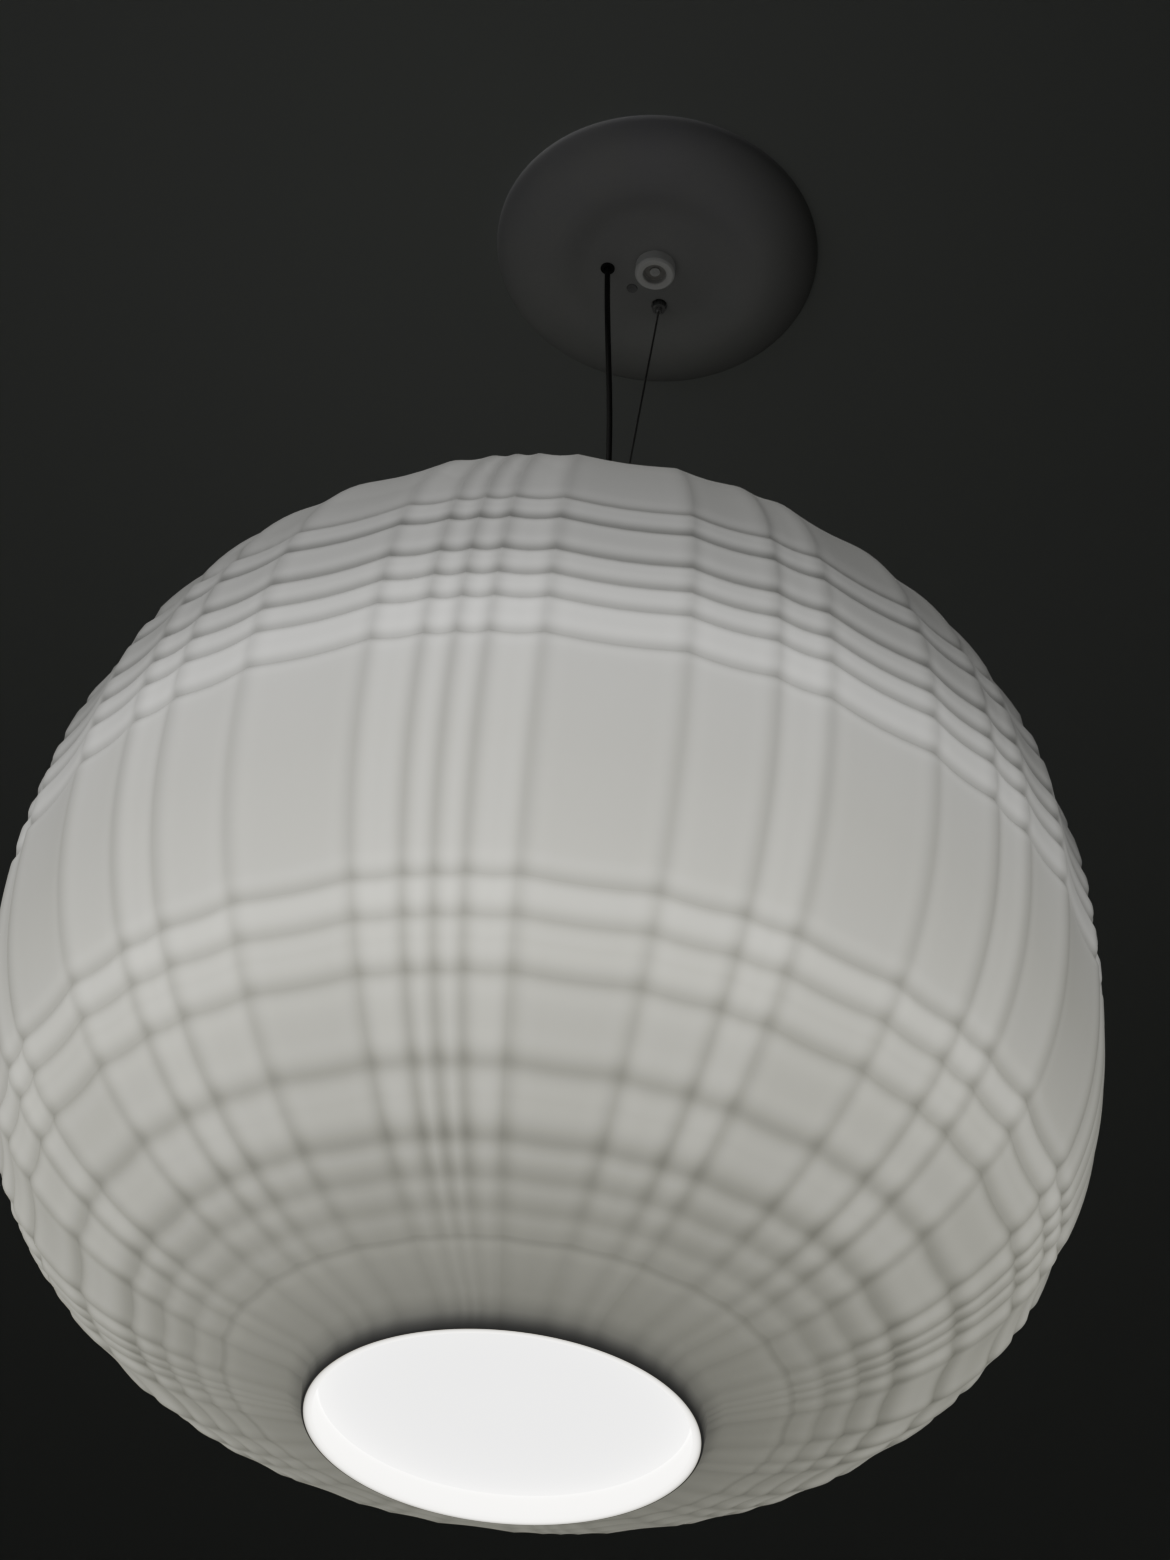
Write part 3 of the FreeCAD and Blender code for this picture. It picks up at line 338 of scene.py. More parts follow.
def finish(name, colour, second, rough, metal=0.0, blotch=25.0, grain=900.0, share=0.4, stretch=(1, 1, 1),
           bump=0.1, depth=0.00005, worn=None, coat=0.0, specular=0.5, glow=None, glow_strength=0.0):
    """Finish whose colour moves between two tones, with grain in its bump and roughness, and wear on its
    edges."""
    material, tree, shader, position = surface(name)
    mapping = add(tree, "ShaderNodeMapping", Scale=stretch)
    tree.links.new(position, mapping.inputs["Vector"])
    mottle = mottled(tree, mapping.outputs["Vector"], blotch, grain, share)
    spread = math_node(tree, "MULTIPLY_ADD", mottle["Mix"], 2.6, -0.8, clamp=True)
    paint = colour_mix(tree, spread, colour, second)
    if worn is not None:
        pointiness = tree.nodes.new("ShaderNodeNewGeometry").outputs["Pointiness"]
        wear = place_group(tree, EDGE_WEAR, Pointiness=pointiness, Noise=mottle["Grain"], Reach=0.05)
        paint = colour_mix(tree, wear.outputs["Mask"], paint, worn)
    tree.links.new(paint, shader.inputs["Base Color"])
    smooth, dull = rough
    roughness = math_node(tree, "MULTIPLY_ADD", mottle["Mix"], (dull - smooth) * 1.6,
                          smooth - 0.3 * (dull - smooth), clamp=True)
    tree.links.new(roughness, shader.inputs["Roughness"])
    raise_grain(tree, shader, mottle["Mix"], bump, depth)
    shader.inputs["Metallic"].default_value = metal
    shader.inputs["Coat Weight"].default_value = coat
    shader.inputs["Specular IOR Level"].default_value = specular
    if glow is not None:
        lit = colour_mix(tree, spread, glow, tuple(0.94 * c for c in glow))
        tree.links.new(lit, shader.inputs["Emission Color"])
        shader.inputs["Emission Strength"].default_value = glow_strength
    return material


# Meshes

def linked_object(name, data):
    """Object of a mesh or curve, at the origin and in the scene."""
    piece = bpy.data.objects.new(name, data)
    bpy.context.scene.collection.objects.link(piece)
    return piece


def smooth_mesh(name, points, faces, material):
    """Smooth mesh from points in mm and faces."""
    mesh = bpy.data.meshes.new(name)
    mesh.from_pydata((points * MM).tolist(), [], faces)
    mesh.polygons.foreach_set("use_smooth", np.ones(len(faces), bool))
    mesh.materials.append(material)
    mesh.update()
    return mesh


def closed_grid(name, points, material, marks):
    """Mesh object from a grid of points that closes on itself both ways, with an attribute for each mark."""
    rows, columns = points.shape[:2]
    r, c = np.meshgrid(np.arange(rows), np.arange(columns), indexing="ij")
    r2, c2 = (r + 1) % rows, (c + 1) % columns
    faces = np.stack([r * columns + c, r * columns + c2, r2 * columns + c2, r2 * columns + c], -1)
    mesh = smooth_mesh(name, points.reshape(-1, 3), faces.reshape(-1, 4).tolist(), material)
    for label, values in marks.items():
        made = mesh.attributes.new(label, "FLOAT", "POINT")
        made.data.foreach_set("value", np.ascontiguousarray(values, np.float32).ravel())
    return linked_object(name, mesh)


def superellipse(heights, radius, rise, fall):
    """Radius over the height: superellipses of powers 2.2 above and 2.5 below the widest level."""
    up = np.clip(heights / rise, 0, 1)
    down = np.clip(-heights / fall, 0, 1)
    above = (1 - up ** RISE_POWER) ** (1 / RISE_POWER)
    below = (1 - down ** FALL_POWER) ** (1 / FALL_POWER)
    return radius * np.where(heights >= 0, above, below)


def depth_share(radius, widest):
    """Share of the fall at a radius on the lower superellipse."""
    return (1 - (radius / widest) ** FALL_POWER) ** (1 / FALL_POWER)


def ridge_columns():
    """Angles round the shade, each column's share of the ridge radius, its angle to the nearest ridge and its
    gap. Between two ridges a gap g apart, at an angle a from their middle, the share is the chord
    cos(g/2) / cos(a) less a hollow * cos(pi a / g). Each hollow is 1.1 mm deep plus 0.8 mm times the gap's
    share of the widest."""
    starts = RIDGE_START + np.concatenate([[0], np.cumsum(RIDGE_GAPS)[:-1]])
    gaps = np.repeat(RIDGE_GAPS, len(COLUMN_SHARES))
    shares = np.tile(COLUMN_SHARES, len(RIDGE_GAPS))
    angles = np.repeat(starts, len(COLUMN_SHARES)) + gaps * shares
    half = np.radians(gaps / 2)
    off = np.radians(gaps * (shares - 0.5))
    hollow = (FLUTE_FLOOR + FLUTE_DEPTH * gaps / RIDGE_GAPS.max()) / RADIUS
    radial = np.cos(half) / np.cos(off) - hollow * np.cos(np.pi * (shares - 0.5))
    nearest = np.radians(gaps) * np.minimum(shares, 1 - shares)
    return np.radians(angles), radial, nearest, np.radians(gaps)


def band_heights():
    """Heights of the outside from the top groove to the last one, close together beside each groove."""
    heights = []
    for high, low in zip(GROOVES, GROOVES[1:]):
        half = (high - low) / 2
        beside = BESIDE_GROOVE[BESIDE_GROOVE < half * 0.93]
        open_stretch = 2 * half - 2 * beside[-1]
        middle = np.linspace(beside[-1], 2 * half - beside[-1], max(3, int(open_stretch / ROW_SPACING) + 2))
        heights.append(high - np.concatenate([beside, middle[1:-1], (2 * half - beside[::-1])[:-1]]))
    return np.concatenate(heights + [[GROOVES[-1]]])


def swell_beside(distance, reach):
    """Bump of the outside in mm at a distance d from a groove: -1.3 + 1.9 (1 - (1 - d / reach)^2)."""
    return -GROOVE_DEPTH + (GROOVE_DEPTH + BAND_CROWN) * (1 - (1 - np.minimum(1, distance / reach)) ** 2)


def groove_swell(heights):
    """Bump of the outside beside its nearest groove, where the reach is 6 mm or half the band, with the
    distance to that groove and the band's height."""
    distance = np.abs(heights[:, None] - np.array(GROOVES)[None, :]).min(1)
    above = np.array([min([g for g in GROOVES if g >= h], default=np.inf) for h in heights])
    below = np.array([max([g for g in GROOVES if g <= h and g != above[i]], default=-np.inf)
                      for i, h in enumerate(heights)])
    band = np.where(np.isfinite(above - below), above - below, DOME_BAND)
    reach = np.minimum(SWELL_REACH, np.maximum(band / 2, 1.0))
    return swell_beside(distance, reach), distance, band


def profile_rows(radius, height, relief=0.0, groove=NO_LINE, band=INSIDE_BAND, inside=0.0):
    """Rows of the profile: radius, height, relief share, groove distance, band height and inside mark."""
    return np.stack(np.broadcast_arrays(radius, height, relief, groove, band, inside), 1)


def dome_rows():
    """Outside from the land to the top groove, at even turns of the upper superellipse."""
    first = math.degrees(math.acos((LAND_RADIUS / RADIUS) ** (RISE_POWER / 2)))
    last = math.degrees(math.asin((GROOVES[0] / RISE) ** (RISE_POWER / 2)))
    turn = np.radians(np.linspace(first, last, 24)[:-1])
    height = RISE * np.sin(turn) ** (2.0 / RISE_POWER)
    swell, distance, band = groove_swell(height)
    swell = swell * np.clip((height[0] - height) / LAND_FADE, 0, 1)
    return profile_rows(RADIUS * np.cos(turn) ** (2.0 / RISE_POWER) + swell, height, 1.0, distance, band)


def plaid_rows():
    """Outside from the top groove to the last one: the outline plus the bump beside each groove."""
    height = band_heights()
    swell, distance, band = groove_swell(height)
    return profile_rows(superellipse(height, RADIUS, RISE, FALL) + swell, height, 1.0, distance, band)


def bowl_rows():
    """Outside from the last groove to the neck's shoulder, on the lower superellipse."""
    last = float(superellipse(np.array(GROOVES[-1]), RADIUS, RISE, FALL))
    radius = np.linspace(last, NECK_SHOULDER, 9)[1:]
    height = -FALL * depth_share(radius, RADIUS)
    away = np.hypot(radius - last, height - GROOVES[-1])
    relief = np.linspace(1, 0.85, len(radius))
    return profile_rows(radius + swell_beside(away, SWELL_REACH) * relief, height, relief, away, NECK_BAND)


def neck_rows():
    """Outside of the neck, from its flared waist to the rounded lip."""
    height = np.array([NECK_WAIST, NECK_WAIST - 2.0, NECK_WAIST - 4.5, LIP + LIP_ROUND, LIP + 0.25, LIP])
    radius = NECK_OUTER + np.array([1.5, 0.9, 0.4, 0.0, -0.35, -LIP_ROUND])
    return profile_rows(radius, height, np.array([0.6, 0.4, 0.2, 0.0, 0.0, 0.0]), band=NECK_BAND)


def bore_rows():
    """Bore of the neck, from the rounded lip to its top."""
    height = np.array([LIP, LIP + 0.25, LIP + LIP_ROUND, -206.0, -202.0, -198.0, BORE_TOP])
    radius = NECK_BORE + np.array([LIP_ROUND, 0.3, 0.0, 0.0, 0.0, 0.0, 0.0])
    return profile_rows(radius, height, inside=1.0)


def hollow_rows():
    """Inside of the shell: the outline's superellipses less the wall, at heights that follow a sine."""
    inner, rise, fall = RADIUS - WALL, RISE - WALL, FALL - WALL
    low = -fall * depth_share(NECK_BORE + HOLLOW_START, inner) * np.sin(np.radians(np.linspace(90, 0, 15)))
    high = (LAND - LAND_THICKNESS) * np.sin(np.radians(np.linspace(0, 90, 12)[1:]))
    height = np.concatenate([low, high])
    relief = np.clip((height - height[0]) / HOLLOW_FADE, 0, 1)
    return profile_rows(superellipse(height, inner, rise, fall), height, relief, inside=1.0)


def land_rows(inside_radius):
    """Underside of the land, the top hole with its broken edges, and the land's top."""
    under = LAND - LAND_THICKNESS
    radius = np.array([inside_radius - 12, TOP_HOLE + HOLE_EDGE, TOP_HOLE, TOP_HOLE, TOP_HOLE + HOLE_EDGE,
                       LAND_RADIUS - 4.0])
    height = np.array([under, under, under + HOLE_EDGE, LAND - HOLE_EDGE, LAND, LAND])
    relief = np.array([0.5, 0.0, 0.0, 0.0, 0.0, 0.5])
    return profile_rows(radius, height, relief, inside=np.array([1.0, 1.0, 1.0, 1.0, 0.0, 0.0]))


def shade_profile():
    """Closed profile of the shade: down the outside, round the lip, up the bore and the hollow, and over the
    land."""
    hollow = hollow_rows()
    return np.concatenate([dome_rows(), plaid_rows(), bowl_rows(), neck_rows(), bore_rows(), hollow,
                           land_rows(hollow[-1, 0])])


def shade_surface(material):
    """Shade as one closed surface: every profile row carried round the axis, its radius times
    1 + relief * (column share - 1), so flutes and ridges fade where the relief does."""
    angle, radial, nearest, gap = ridge_columns()
    r, z, relief, groove, band, inside = shade_profile().T
    radius = r[:, None] * (1 + relief[:, None] * (radial[None, :] - 1))
    x = LAMP[0] + radius * np.cos(angle)[None, :]
    y = LAMP[1] + radius * np.sin(angle)[None, :]
    points = np.stack([x, y, np.broadcast_to(z[:, None] - DROP, x.shape)], -1)
    flat = np.ones_like(x)
    cell = radius * gap[None, :]
    marks = {
        "ridge_mm": radius * nearest[None, :] * np.maximum(1, LINE_ROOM / cell),
        "groove_mm": (groove * np.maximum(1, LINE_ROOM / band))[:, None] * flat,
        "cell_mm": cell,
        "band_mm": band[:, None] * flat,
        "inside": inside[:, None] * flat,
    }
    return closed_grid("plaid_shade", points[:, ::-1], material, {k: v[:, ::-1] for k, v in marks.items()})


def strands(name, path, radius, lay, steps, sides, material):
    """Six round strands laid in a helix about a path and one along it. Each strand's centre runs at two
    thirds of the wire's radius and turns once in a lay's length. Every strand has a third of the radius."""
    lengths = np.concatenate([[0], np.cumsum(np.linalg.norm(np.diff(path, axis=0), axis=1))])
    along = np.linspace(0, lengths[-1], steps)
    centre = np.stack([np.interp(along, lengths, path[:, i]) for i in range(3)], 1)
    tangent = np.gradient(centre, axis=0)
    tangent /= np.linalg.norm(tangent, axis=1)[:, None]
    side = np.cross(tangent, np.array([0.0, 1.0, 0.0]))
    side /= np.linalg.norm(side, axis=1)[:, None]
    other = np.cross(tangent, side)
    turn = np.linspace(0, 2 * math.pi, sides, endpoint=False)
    thread = radius / 3
    i, j = np.meshgrid(np.arange(steps - 1), np.arange(sides), indexing="ij")
    j2 = (j + 1) % sides
    skin = np.stack([i * sides + j, (i + 1) * sides + j, (i + 1) * sides + j2, i * sides + j2], -1)
    skin = skin.reshape(-1, 4)
    rim = np.arange(sides)
    vertices, faces = [], []
    for k in range(7):
        phase = 2 * math.pi * along / lay + k * math.pi / 3
        reach = 0.0 if k == 6 else 2 * thread
        middle = centre + reach * (np.cos(phase)[:, None] * side + np.sin(phase)[:, None] * other)
        ring = middle[:, None] + thread * (np.cos(turn)[None, :, None] * side[:, None] +
                                           np.sin(turn)[None, :, None] * other[:, None])
        base = k * steps * sides
        vertices.append(ring.reshape(-1, 3))
        faces += (skin + base).tolist()
        faces += [(base + rim).tolist(), (base + (steps - 1) * sides + rim)[::-1].tolist()]
    return linked_object(name, smooth_mesh(name, np.concatenate(vertices), faces, material))


# Power cord and wire

CORD_LOOK = 1.65           # radius of the seen cord in mm
BEND_HEIGHT = 10.0         # of the cord's and the wire's bends above the hub
WIRE_START = -21.65        # below the gripper's plunger
WIRE_RADIUS = 0.6
WIRE_LAY = 9.0


def sheath_material():
    """Black sheath: a fine drawn grain along the cord, with soft dust and a dull sheen."""
    return finish("cord_sheath", (0.016, 0.016, 0.017), (0.045, 0.044, 0.042), (0.42, 0.62), blotch=45.0,
                  grain=1500.0, share=0.5, stretch=(1, 1, 0.12), bump=0.25, specular=0.4)


def curve_cord(name, points, radius, material):
    """Cord on a NURBS line of order 3 through its end points, with the route's points as control points."""
    data = bpy.data.curves.new(name, "CURVE")
    data.dimensions = "3D"
    data.bevel_depth = radius * MM
    data.bevel_resolution = 6
    data.use_fill_caps = True
    spline = data.splines.new("NURBS")
    spline.points.add(len(points) - 1)
    spline.points.foreach_set("co", np.hstack([np.array(points) * MM, np.ones((len(points), 1))]).ravel())
    spline.order_u = 3
    spline.use_endpoint_u = True
    spline.resolution_u = 24
    data.materials.append(material)
    return linked_object(name, data)


CORD_ROUTE = [
    (CORD[0], CORD[1], -10.0),
    (CORD[0], CORD[1], -26.0),
    (-12.8, 8.6, -190.0),
    (LAMP[0], LAMP[1], HUB_TOP + BEND_HEIGHT - DROP),
    (LAMP[0], LAMP[1], STEM_TOP - 5.0 - DROP),
]
lamp_cord = curve_cord("lamp_cord", CORD_ROUTE, CORD_LOOK, sheath_material())
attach(lamp_cord, "lamp")
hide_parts("power_cord")

stranded = finish("stranded_steel", (0.17, 0.17, 0.17), (0.34, 0.34, 0.33), (0.3, 0.5), metal=0.9,
                  blotch=60.0, grain=1600.0, stretch=(1, 1, 0.2), bump=0.15)
WIRE_ROUTE = np.array([
    (WIRE[0], WIRE[1], WIRE_START),
    (WIRE_FOOT[0], WIRE_FOOT[1], HUB_TOP + BEND_HEIGHT - DROP),
    (WIRE_FOOT[0], WIRE_FOOT[1], HUB_TOP - HUB_TOP_WALL - FERRULE_LENGTH - DROP),
])
hanging_wire = strands("hanging_wire", WIRE_ROUTE, WIRE_RADIUS, WIRE_LAY, 500, 8, stranded)
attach(hanging_wire, "lamp")
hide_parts("suspension_wire")


# Shade

# Light of the opal over the height: height in mm, brightness and warmth
OPAL_TONES = [
    (-210.5, 0.02, 0.0), (-208, 0.035, 0.2), (-206, 0.065, 0.4), (-203.5, 0.115, 0.7), (-200, 0.17, 0.9),
    (-195, 0.215, 1.0), (-188, 0.255, 1.0), (-180, 0.34, 1.0), (-168, 0.475, 1.0), (-148, 0.58, 1.0),
    (-125, 0.72, 1.0), (-110, 0.81, 0.9), (-85, 0.73, 0.8), (-50, 0.67, 0.7), (-15, 0.66, 0.5),
    (10, 0.71, 0.3), (28, 0.54, 0.25), (45, 0.39, 0.2), (62, 0.295, 0.15), (84, 0.25, 0.1), (105, 0.19, 0.1),
    (160, 0.19, 0.1), (238, 0.21, 0.1),
]
TONE_SPAN = 460.0          # height of the tones' ramp above the lip
WARM_GREEN = 0.006         # loss of green and of blue at full warmth
WARM_BLUE = 0.14
PLAIN_BLUE = 0.985

# Light of the opal from -X to +X: share of the way across and level
OPAL_SIDES = [(0.0, 0.78), (0.1, 0.90), (0.25, 1.06), (0.5, 1.0), (0.75, 0.81), (0.9, 0.62), (1.0, 0.52)]

LIP_SHADOW = 18.0          # height of the shadow over the lip
UPPER_BANDS = (-20.0, 42.5)         # heights where the grooves' deeper shade starts and is full
MOUTH_FADE = (-195.5, -175.5)       # heights where the lines are faintest and full
WIDE_CELL = 42.0           # cells and bands this wide or more get no extra light
WIDE_BAND = 34.0


def opal_marks(tree):
    """The shade's own attributes, as a function of their label."""
    def mark(label):
        node = tree.nodes.new("ShaderNodeAttribute")
        node.attribute_name = label
        return node.outputs["Fac"]
    return mark


def level_fade(tree, height, start, end):
    """Mask of a height in metres between two of the lamp's own levels in mm."""
    return fade(tree, height, start - DROP, end - DROP)


def slimness(tree, width, widest):
    """Mask of a width in mm: 1 at nothing and 0 at the widest."""
    return math_node(tree, "SUBTRACT", 1.0, math_node(tree, "DIVIDE", width, widest), clamp=True)


def opal_lines(tree, mark, height, narrow):
    """Brightness of the moulded lines: both kinds darken their own place, deeper in narrow cells and in the
    upper bands, and fade out towards the mouth."""
    upper = level_fade(tree, height, *UPPER_BANDS)
    clear = math_node(tree, "MULTIPLY_ADD", level_fade(tree, height, *MOUTH_FADE), 0.82, 0.18)
    ridge_depth = math_node(tree, "MULTIPLY", math_node(tree, "MULTIPLY_ADD", narrow, 0.24, 0.21), clear)
    groove_depth = math_node(tree, "MULTIPLY", math_node(tree, "MULTIPLY_ADD", upper, 0.20, 0.35), clear)
    ridge = place_group(tree, MOULDED_LINE, Distance=mark("ridge_mm"), Width=3.5, Depth=ridge_depth,
                        Offset=7.0, Spread=3.0, Glow=0.03)
    groove = place_group(tree, MOULDED_LINE, Distance=mark("groove_mm"), Width=2.7, Depth=groove_depth,
                         Offset=5.8, Spread=2.6, Glow=0.07)
    return math_node(tree, "MULTIPLY", ridge.outputs["Factor"], groove.outputs["Factor"])


def opal_material():
    """Lit opal: the light from inside over the height, darker along moulded lines and where the wall is seen
    aslant, brighter in narrow cells and on one side, and dark in the lip's shadow."""
    material, tree, shader, position = surface("opal_shade")
    mark = opal_marks(tree)
    axes = axes_of(tree, position)
    height = axes["Z"]

    tones = [((h - LIP) / TONE_SPAN, (v, v * (1.0 - WARM_GREEN * w), v * (PLAIN_BLUE - WARM_BLUE * w)))
             for h, v, w in OPAL_TONES]
    light = ramp(tree, level_fade(tree, height, LIP, LIP + TONE_SPAN), tones)

    narrow = slimness(tree, mark("cell_mm"), WIDE_CELL)
    close = slimness(tree, mark("band_mm"), WIDE_BAND)
    lines = opal_lines(tree, mark, height, narrow)
    lift = math_node(tree, "MULTIPLY_ADD", narrow, 0.26, math_node(tree, "MULTIPLY_ADD", close, 0.16, 0.96))
    sides = grey_ramp(tree, fade(tree, axes["X"], LAMP[0] - RADIUS, LAMP[0] + RADIUS), OPAL_SIDES)
    facing = add(tree, "ShaderNodeLayerWeight", Blend=0.5).outputs["Facing"]
    aslant = flipped(tree, math_node(tree, "MULTIPLY", math_node(tree, "POWER", facing, 2.5), 0.42))
    mottle = mottled(tree, position, 7.0, 260.0, 0.35)
    cloudy = math_node(tree, "MULTIPLY_ADD", mottle["Mix"], 0.10, 0.95)
    factor = math_node(tree, "MULTIPLY", lines, lift)
    for share in (sides, aslant, cloudy):
        factor = math_node(tree, "MULTIPLY", factor, share)

    scale = tree.nodes.new("ShaderNodeVectorMath")
    scale.operation = "SCALE"
    tree.links.new(light, scale.inputs[0])
    tree.links.new(factor, scale.inputs["Scale"])
    lit = colour_mix(tree, mark("inside"), scale.outputs["Vector"], (6.4, 6.2, 5.5))
    tree.links.new(lit, shader.inputs["Emission Color"])
    shader.inputs["Emission Strength"].default_value = 1.0

    base = colour_mix(tree, mottle["Blotch"], (0.60, 0.60, 0.57), (0.66, 0.66, 0.63))
    shadow = math_node(tree, "MULTIPLY", level_fade(tree, height, LIP + LIP_SHADOW, LIP),
                       flipped(tree, mark("inside")))
    tree.links.new(colour_mix(tree, shadow, base, (0.10, 0.10, 0.095)), shader.inputs["Base Color"])
    rough = math_node(tree, "MULTIPLY_ADD", mottle["Grain"], 0.14, 0.36)
    tree.links.new(rough, shader.inputs["Roughness"])
    raise_grain(tree, shader, mottle["Grain"], 0.06, 0.0002)
    shader.inputs["Coat Weight"].default_value = 0.15
    material.cycles.emission_sampling = "NONE"
    return material


plaid_shade = shade_surface(opal_material())
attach(plaid_shade, "lamp")
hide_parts("diffuser_shade")


# Finishes of the other pieces

# Tones of the cap nut's face from its middle outwards: share of the way and colour; the darker tones in the
# recess are painted shade
CAP_FACE = 12.5            # reach of the tones in mm
CAP_TONES = [
    (0.0, (0.62, 0.61, 0.58)), (0.2, (0.55, 0.54, 0.52)), (0.3, (0.45, 0.44, 0.42)),
    (0.5, (0.34, 0.33, 0.32)), (0.58, (0.8, 0.8, 0.78)), (0.8, (0.86, 0.86, 0.85)), (1.0, (0.74, 0.74, 0.73)),
]
CAP_DIRT = 6.2             # radius of the speckled middle


def cap_material():
    """Cap nut: bright moulded ring round a recess painted darker as shade, with a speckled middle, and a
    trace of light of its own for what the shade below throws on it."""
    material, tree, shader, position = surface("cap_face")
    across = from_axis(tree, axes_of(tree, position))
    # painted shade: the tones darken inside the recess
    tone = ramp(tree, fade(tree, across, 0.0, CAP_FACE), CAP_TONES)
    mottle = mottled(tree, position, 420.0, 1800.0, 0.5)
    spots = math_node(tree, "MULTIPLY_ADD", mottle["Mix"], 3.0, -1.1, clamp=True)
    middle = math_node(tree, "MULTIPLY", fade(tree, across, CAP_DIRT, 0.0), 1.6, clamp=True)
    paint = colour_mix(tree, math_node(tree, "MULTIPLY", spots, middle), tone, (0.16, 0.15, 0.14))
    tree.links.new(paint, shader.inputs["Base Color"])
    tree.links.new(paint, shader.inputs["Emission Color"])
    shader.inputs["Emission Strength"].default_value = 0.012
    rough = math_node(tree, "MULTIPLY_ADD", mottle["Mix"], 0.3, 0.2)
    tree.links.new(rough, shader.inputs["Roughness"])
    raise_grain(tree, shader, mottle["Mix"], 0.3, 0.0001)
    shader.inputs["Coat Weight"].default_value = 0.3
    return material


# Places in mm where a mask of the rose's enamel starts and is full: painted shade on the turned edge towards
# +X, and painted light, lighter and violet, towards -Y
SHADED_EDGE = (61.43, 97.14)          # from its axis
SHADED_SIDE = (-38.89, 72.22)        # along +X, with half of Y
LIT_VIOLET_SIDE = (58.33, -108.33)      # along +Y


def rose_material():
    """Rose enamel: an off-white with fine peel, painted lighter and violet towards -Y as light from that
    side, and painted shade that greys the turned edge towards +X."""
    material, tree, shader, position = surface("rose_enamel")
    axes = axes_of(tree, position)
    edge = fade(tree, from_axis(tree, axes), *SHADED_EDGE)
    slanted = math_node(tree, "MULTIPLY_ADD", axes["Y"], 0.5, axes["X"])
    side = fade(tree, slanted, *SHADED_SIDE)
    mottle = mottled(tree, position, 16.0, 420.0, 0.3)
    patchy = math_node(tree, "MULTIPLY_ADD", mottle["Blotch"], 0.5, 0.65)
    # painted shade: greys the turned edge towards +X, broken up by blotches
    painted_shade = math_node(tree, "MULTIPLY", math_node(tree, "MULTIPLY", edge, side), patchy, clamp=True)
    # painted light: the -Y side lighter and violet
    lit_side = fade(tree, axes["Y"], *LIT_VIOLET_SIDE)
    cloud = math_node(tree, "MULTIPLY_ADD", mottle["Mix"], 1.8, -0.5, clamp=True)
    paint = colour_mix(tree, lit_side, (0.38, 0.39, 0.38), (0.43, 0.42, 0.465))
    paint = colour_mix(tree, cloud, paint, (0.46, 0.46, 0.45))
    paint = colour_mix(tree, painted_shade, paint, (0.20, 0.20, 0.195))
    tree.links.new(paint, shader.inputs["Base Color"])
    rough = math_node(tree, "MULTIPLY_ADD", mottle["Mix"], 0.2, 0.42)
    tree.links.new(rough, shader.inputs["Roughness"])
    raise_grain(tree, shader, mottle["Grain"], 0.1, 0.00006)
    return material


steel = finish("zinc_steel", (0.44, 0.45, 0.47), (0.62, 0.63, 0.64), (0.3, 0.55), metal=1.0, blotch=90.0,
               grain=700.0, worn=(0.8, 0.8, 0.8), bump=0.15)
nickel = finish("satin_nickel", (0.52, 0.51, 0.48), (0.66, 0.65, 0.62), (0.22, 0.42), metal=1.0, blotch=30.0,
                grain=1200.0, stretch=(1, 1, 0.08), share=0.7, bump=0.12, worn=(0.85, 0.84, 0.8))
brass = finish("plain_brass", (0.55, 0.38, 0.13), (0.75, 0.58, 0.26), (0.22, 0.45), metal=1.0, blotch=120.0,
               grain=900.0, worn=(0.9, 0.78, 0.45))
spring = finish("spring_steel", (0.35, 0.35, 0.36), (0.55, 0.55, 0.56), (0.2, 0.4), metal=1.0, blotch=80.0,
                grain=1500.0, stretch=(1, 1, 4.0))
moulded_white = finish("moulded_white", (0.74, 0.73, 0.69), (0.82, 0.81, 0.78), (0.38, 0.6), blotch=60.0,
                       grain=1400.0, bump=0.2, worn=(0.9, 0.9, 0.88))
rubber = finish("moulded_rubber", (0.008, 0.008, 0.009), (0.028, 0.027, 0.026), (0.55, 0.8), blotch=150.0,
                grain=2200.0, bump=0.35, specular=0.3)
pale_rubber = finish("pale_rubber", (0.6, 0.6, 0.57), (0.7, 0.7, 0.66), (0.5, 0.75), blotch=60.0,
                     grain=1500.0, bump=0.3)
plug_plastic = finish("plug_plastic", (0.2, 0.2, 0.205), (0.32, 0.32, 0.325), (0.4, 0.6), blotch=220.0,
                      grain=1800.0, bump=0.2)
black_nickel = finish("black_nickel", (0.025, 0.025, 0.028), (0.06, 0.06, 0.064), (0.25, 0.45), metal=0.8,
                      blotch=200.0, grain=1600.0, worn=(0.4, 0.4, 0.4))
bright_nickel = finish("bright_nickel", (0.5, 0.5, 0.5), (0.72, 0.72, 0.72), (0.12, 0.3), metal=1.0,
                       blotch=200.0, grain=1600.0)
crimped = finish("crimped_metal", (0.55, 0.56, 0.57), (0.72, 0.73, 0.74), (0.3, 0.55), metal=1.0,
                 blotch=260.0, grain=1200.0, bump=0.5, depth=0.0002)
cover_enamel = finish("cover_enamel", (0.72, 0.72, 0.7), (0.8, 0.8, 0.78), (0.35, 0.55), blotch=18.0,
                      grain=500.0, share=0.3, bump=0.1)
ceramic = finish("glazed_ceramic", (0.78, 0.75, 0.68), (0.86, 0.84, 0.78), (0.12, 0.3), blotch=40.0,
                 grain=700.0, coat=0.5)
rolled_metal = finish("rolled_metal", (0.6, 0.6, 0.6), (0.75, 0.75, 0.74), (0.25, 0.45), metal=1.0,
                      blotch=90.0, grain=1400.0, worn=(0.88, 0.88, 0.88))
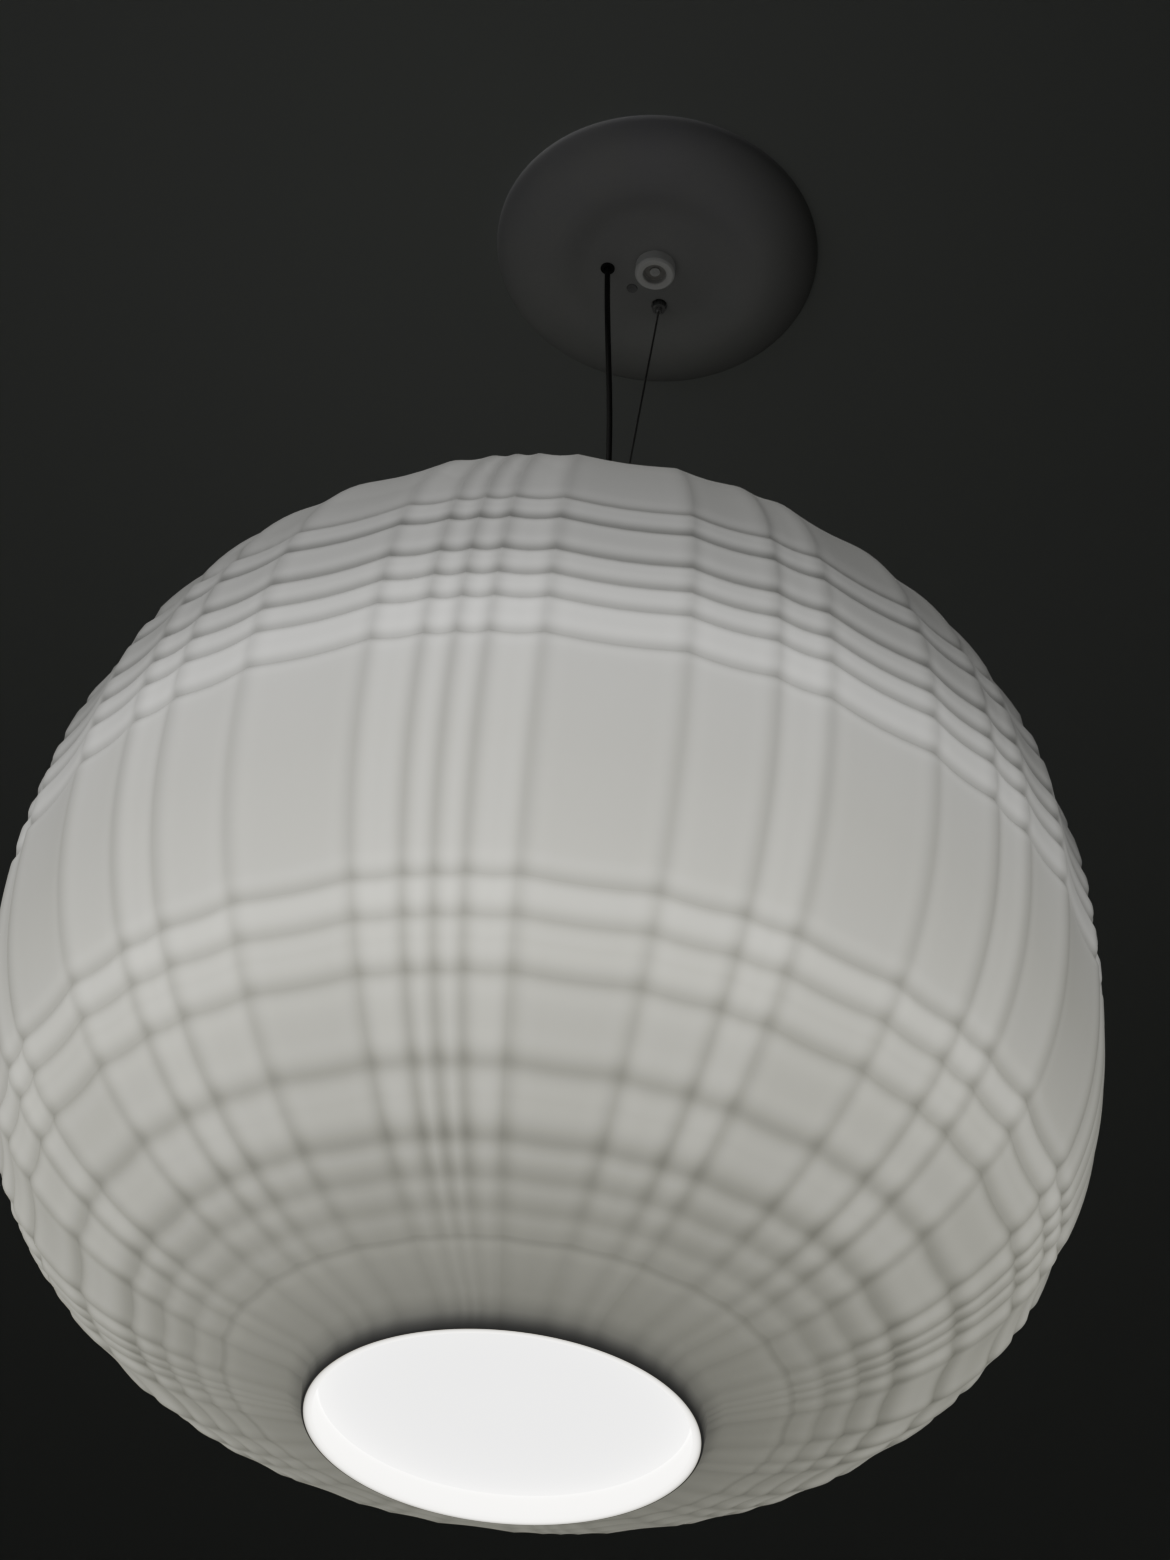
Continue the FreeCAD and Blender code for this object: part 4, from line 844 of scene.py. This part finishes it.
frosted = finish("frosted_globe", (0.85, 0.84, 0.8), (0.9, 0.89, 0.85), (0.3, 0.5), blotch=25.0, grain=800.0,
                 glow=(1.0, 0.96, 0.88), glow_strength=1.6)
lit_disc = finish("lit_disc", (0.8, 0.8, 0.79), (0.84, 0.84, 0.83), (0.4, 0.55), blotch=12.0, grain=500.0,
                  glow=(1.0, 1.0, 0.985), glow_strength=4.2)

PIECES_BY_FINISH = [
    (rose_material(), ["rose_dome"]),
    (cap_material(), ["rose_cap_nut"]),
    (rubber, ["cord_bush", "hub_cord_bush"]),
    (plug_plastic, ["blanking_plug"]),
    (black_nickel, ["gripper_body"]),
    (bright_nickel, ["gripper_plunger"]),
    (spring, ["gripper_spring", "gripper_balls", "disc_clips"]),
    (stranded, ["wire_grip_end"]),
    (crimped, ["wire_ferrule"]),
    (steel, ["ceiling_plate", "plate_stud", "stud_nut", "carrier_plate"]),
    (moulded_white, ["cord_grip", "terminal_block", "lampholder_cap", "lampholder_skirt"]),
    (brass, ["grip_screw", "terminal_screws", "earth_screw", "threaded_shell", "centre_contact"]),
    (nickel, ["hub", "ring_nut", "hub_bush", "stem_tube", "stem_nuts"]),
    (cover_enamel, ["top_cover"]),
    (pale_rubber, ["upper_gasket", "lower_gasket"]),
    (ceramic, ["lampholder_core"]),
    (rolled_metal, ["bulb_base"]),
    (frosted, ["bulb_globe"]),
    (lit_disc, ["diffuser_disc"]),
]
for material, names in PIECES_BY_FINISH:
    for name in names:
        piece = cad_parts[name]
        piece.data.materials.clear()
        piece.data.materials.append(material)


# Stage and light, in metres

CEILING_HEIGHT = 0.0005
CEILING_HALF = 6.0
FLOOR_HEIGHT = -2.4
FLOOR_HALF = 8.0


def stage_plane(name, height, half, material, face_down):
    """Flat square of the stage at a height."""
    corners = [(-half, -half, height), (half, -half, height), (half, half, height), (-half, half, height)]
    mesh = bpy.data.meshes.new(name)
    mesh.from_pydata(corners, [], [(3, 2, 1, 0) if face_down else (0, 1, 2, 3)])
    mesh.materials.append(material)
    linked_object(name, mesh)


def ceiling_material():
    """Matt ceiling seen from below only: rays from above, and light from the lamps above, pass through it."""
    material, tree, shader = plain_surface("stage_ceiling", (0.32, 0.335, 0.325), 0.9)
    clear = tree.nodes.new("ShaderNodeBsdfTransparent")
    either = tree.nodes.new("ShaderNodeMixShader")
    back = tree.nodes.new("ShaderNodeNewGeometry").outputs["Backfacing"]
    shadow = tree.nodes.new("ShaderNodeLightPath").outputs["Is Shadow Ray"]
    tree.links.new(math_node(tree, "MAXIMUM", back, shadow), either.inputs[0])
    tree.links.new(shader.outputs[0], either.inputs[1])
    tree.links.new(clear.outputs[0], either.inputs[2])
    tree.links.new(either.outputs[0], tree.nodes["Material Output"].inputs["Surface"])
    return material


def floor_material():
    """Plain pale matt floor."""
    return plain_surface("stage_floor", (0.7, 0.7, 0.69), 0.9)[0]


def area_light(name, place, target, size, watts, colour):
    """Square soft light at a place, turned to a target."""
    data = bpy.data.lights.new(name, "AREA")
    data.size = size
    data.energy = watts
    data.color = colour
    light = linked_object(name, data)
    light.location = place
    light.rotation_euler = (Vector(target) - Vector(place)).to_track_quat("-Z", "Y").to_euler()


stage_plane("stage_ceiling", CEILING_HEIGHT, CEILING_HALF, ceiling_material(), True)
stage_plane("stage_floor", FLOOR_HEIGHT, FLOOR_HALF, floor_material(), False)
area_light("top_light", (-0.6, -0.4, 1.6), (0, 0, -0.4), 2.0, 10.0, (1.0, 0.99, 0.97))
area_light("side_light", (-2.2, -1.6, -0.9), (0, 0, -0.3), 1.6, 1.6, (0.95, 0.97, 1.0))

world = bpy.data.worlds.new("soft_world")
world.use_nodes = True
world.node_tree.nodes["Background"].inputs["Color"].default_value = (0.018, 0.019, 0.0185, 1)
bpy.context.scene.world = world
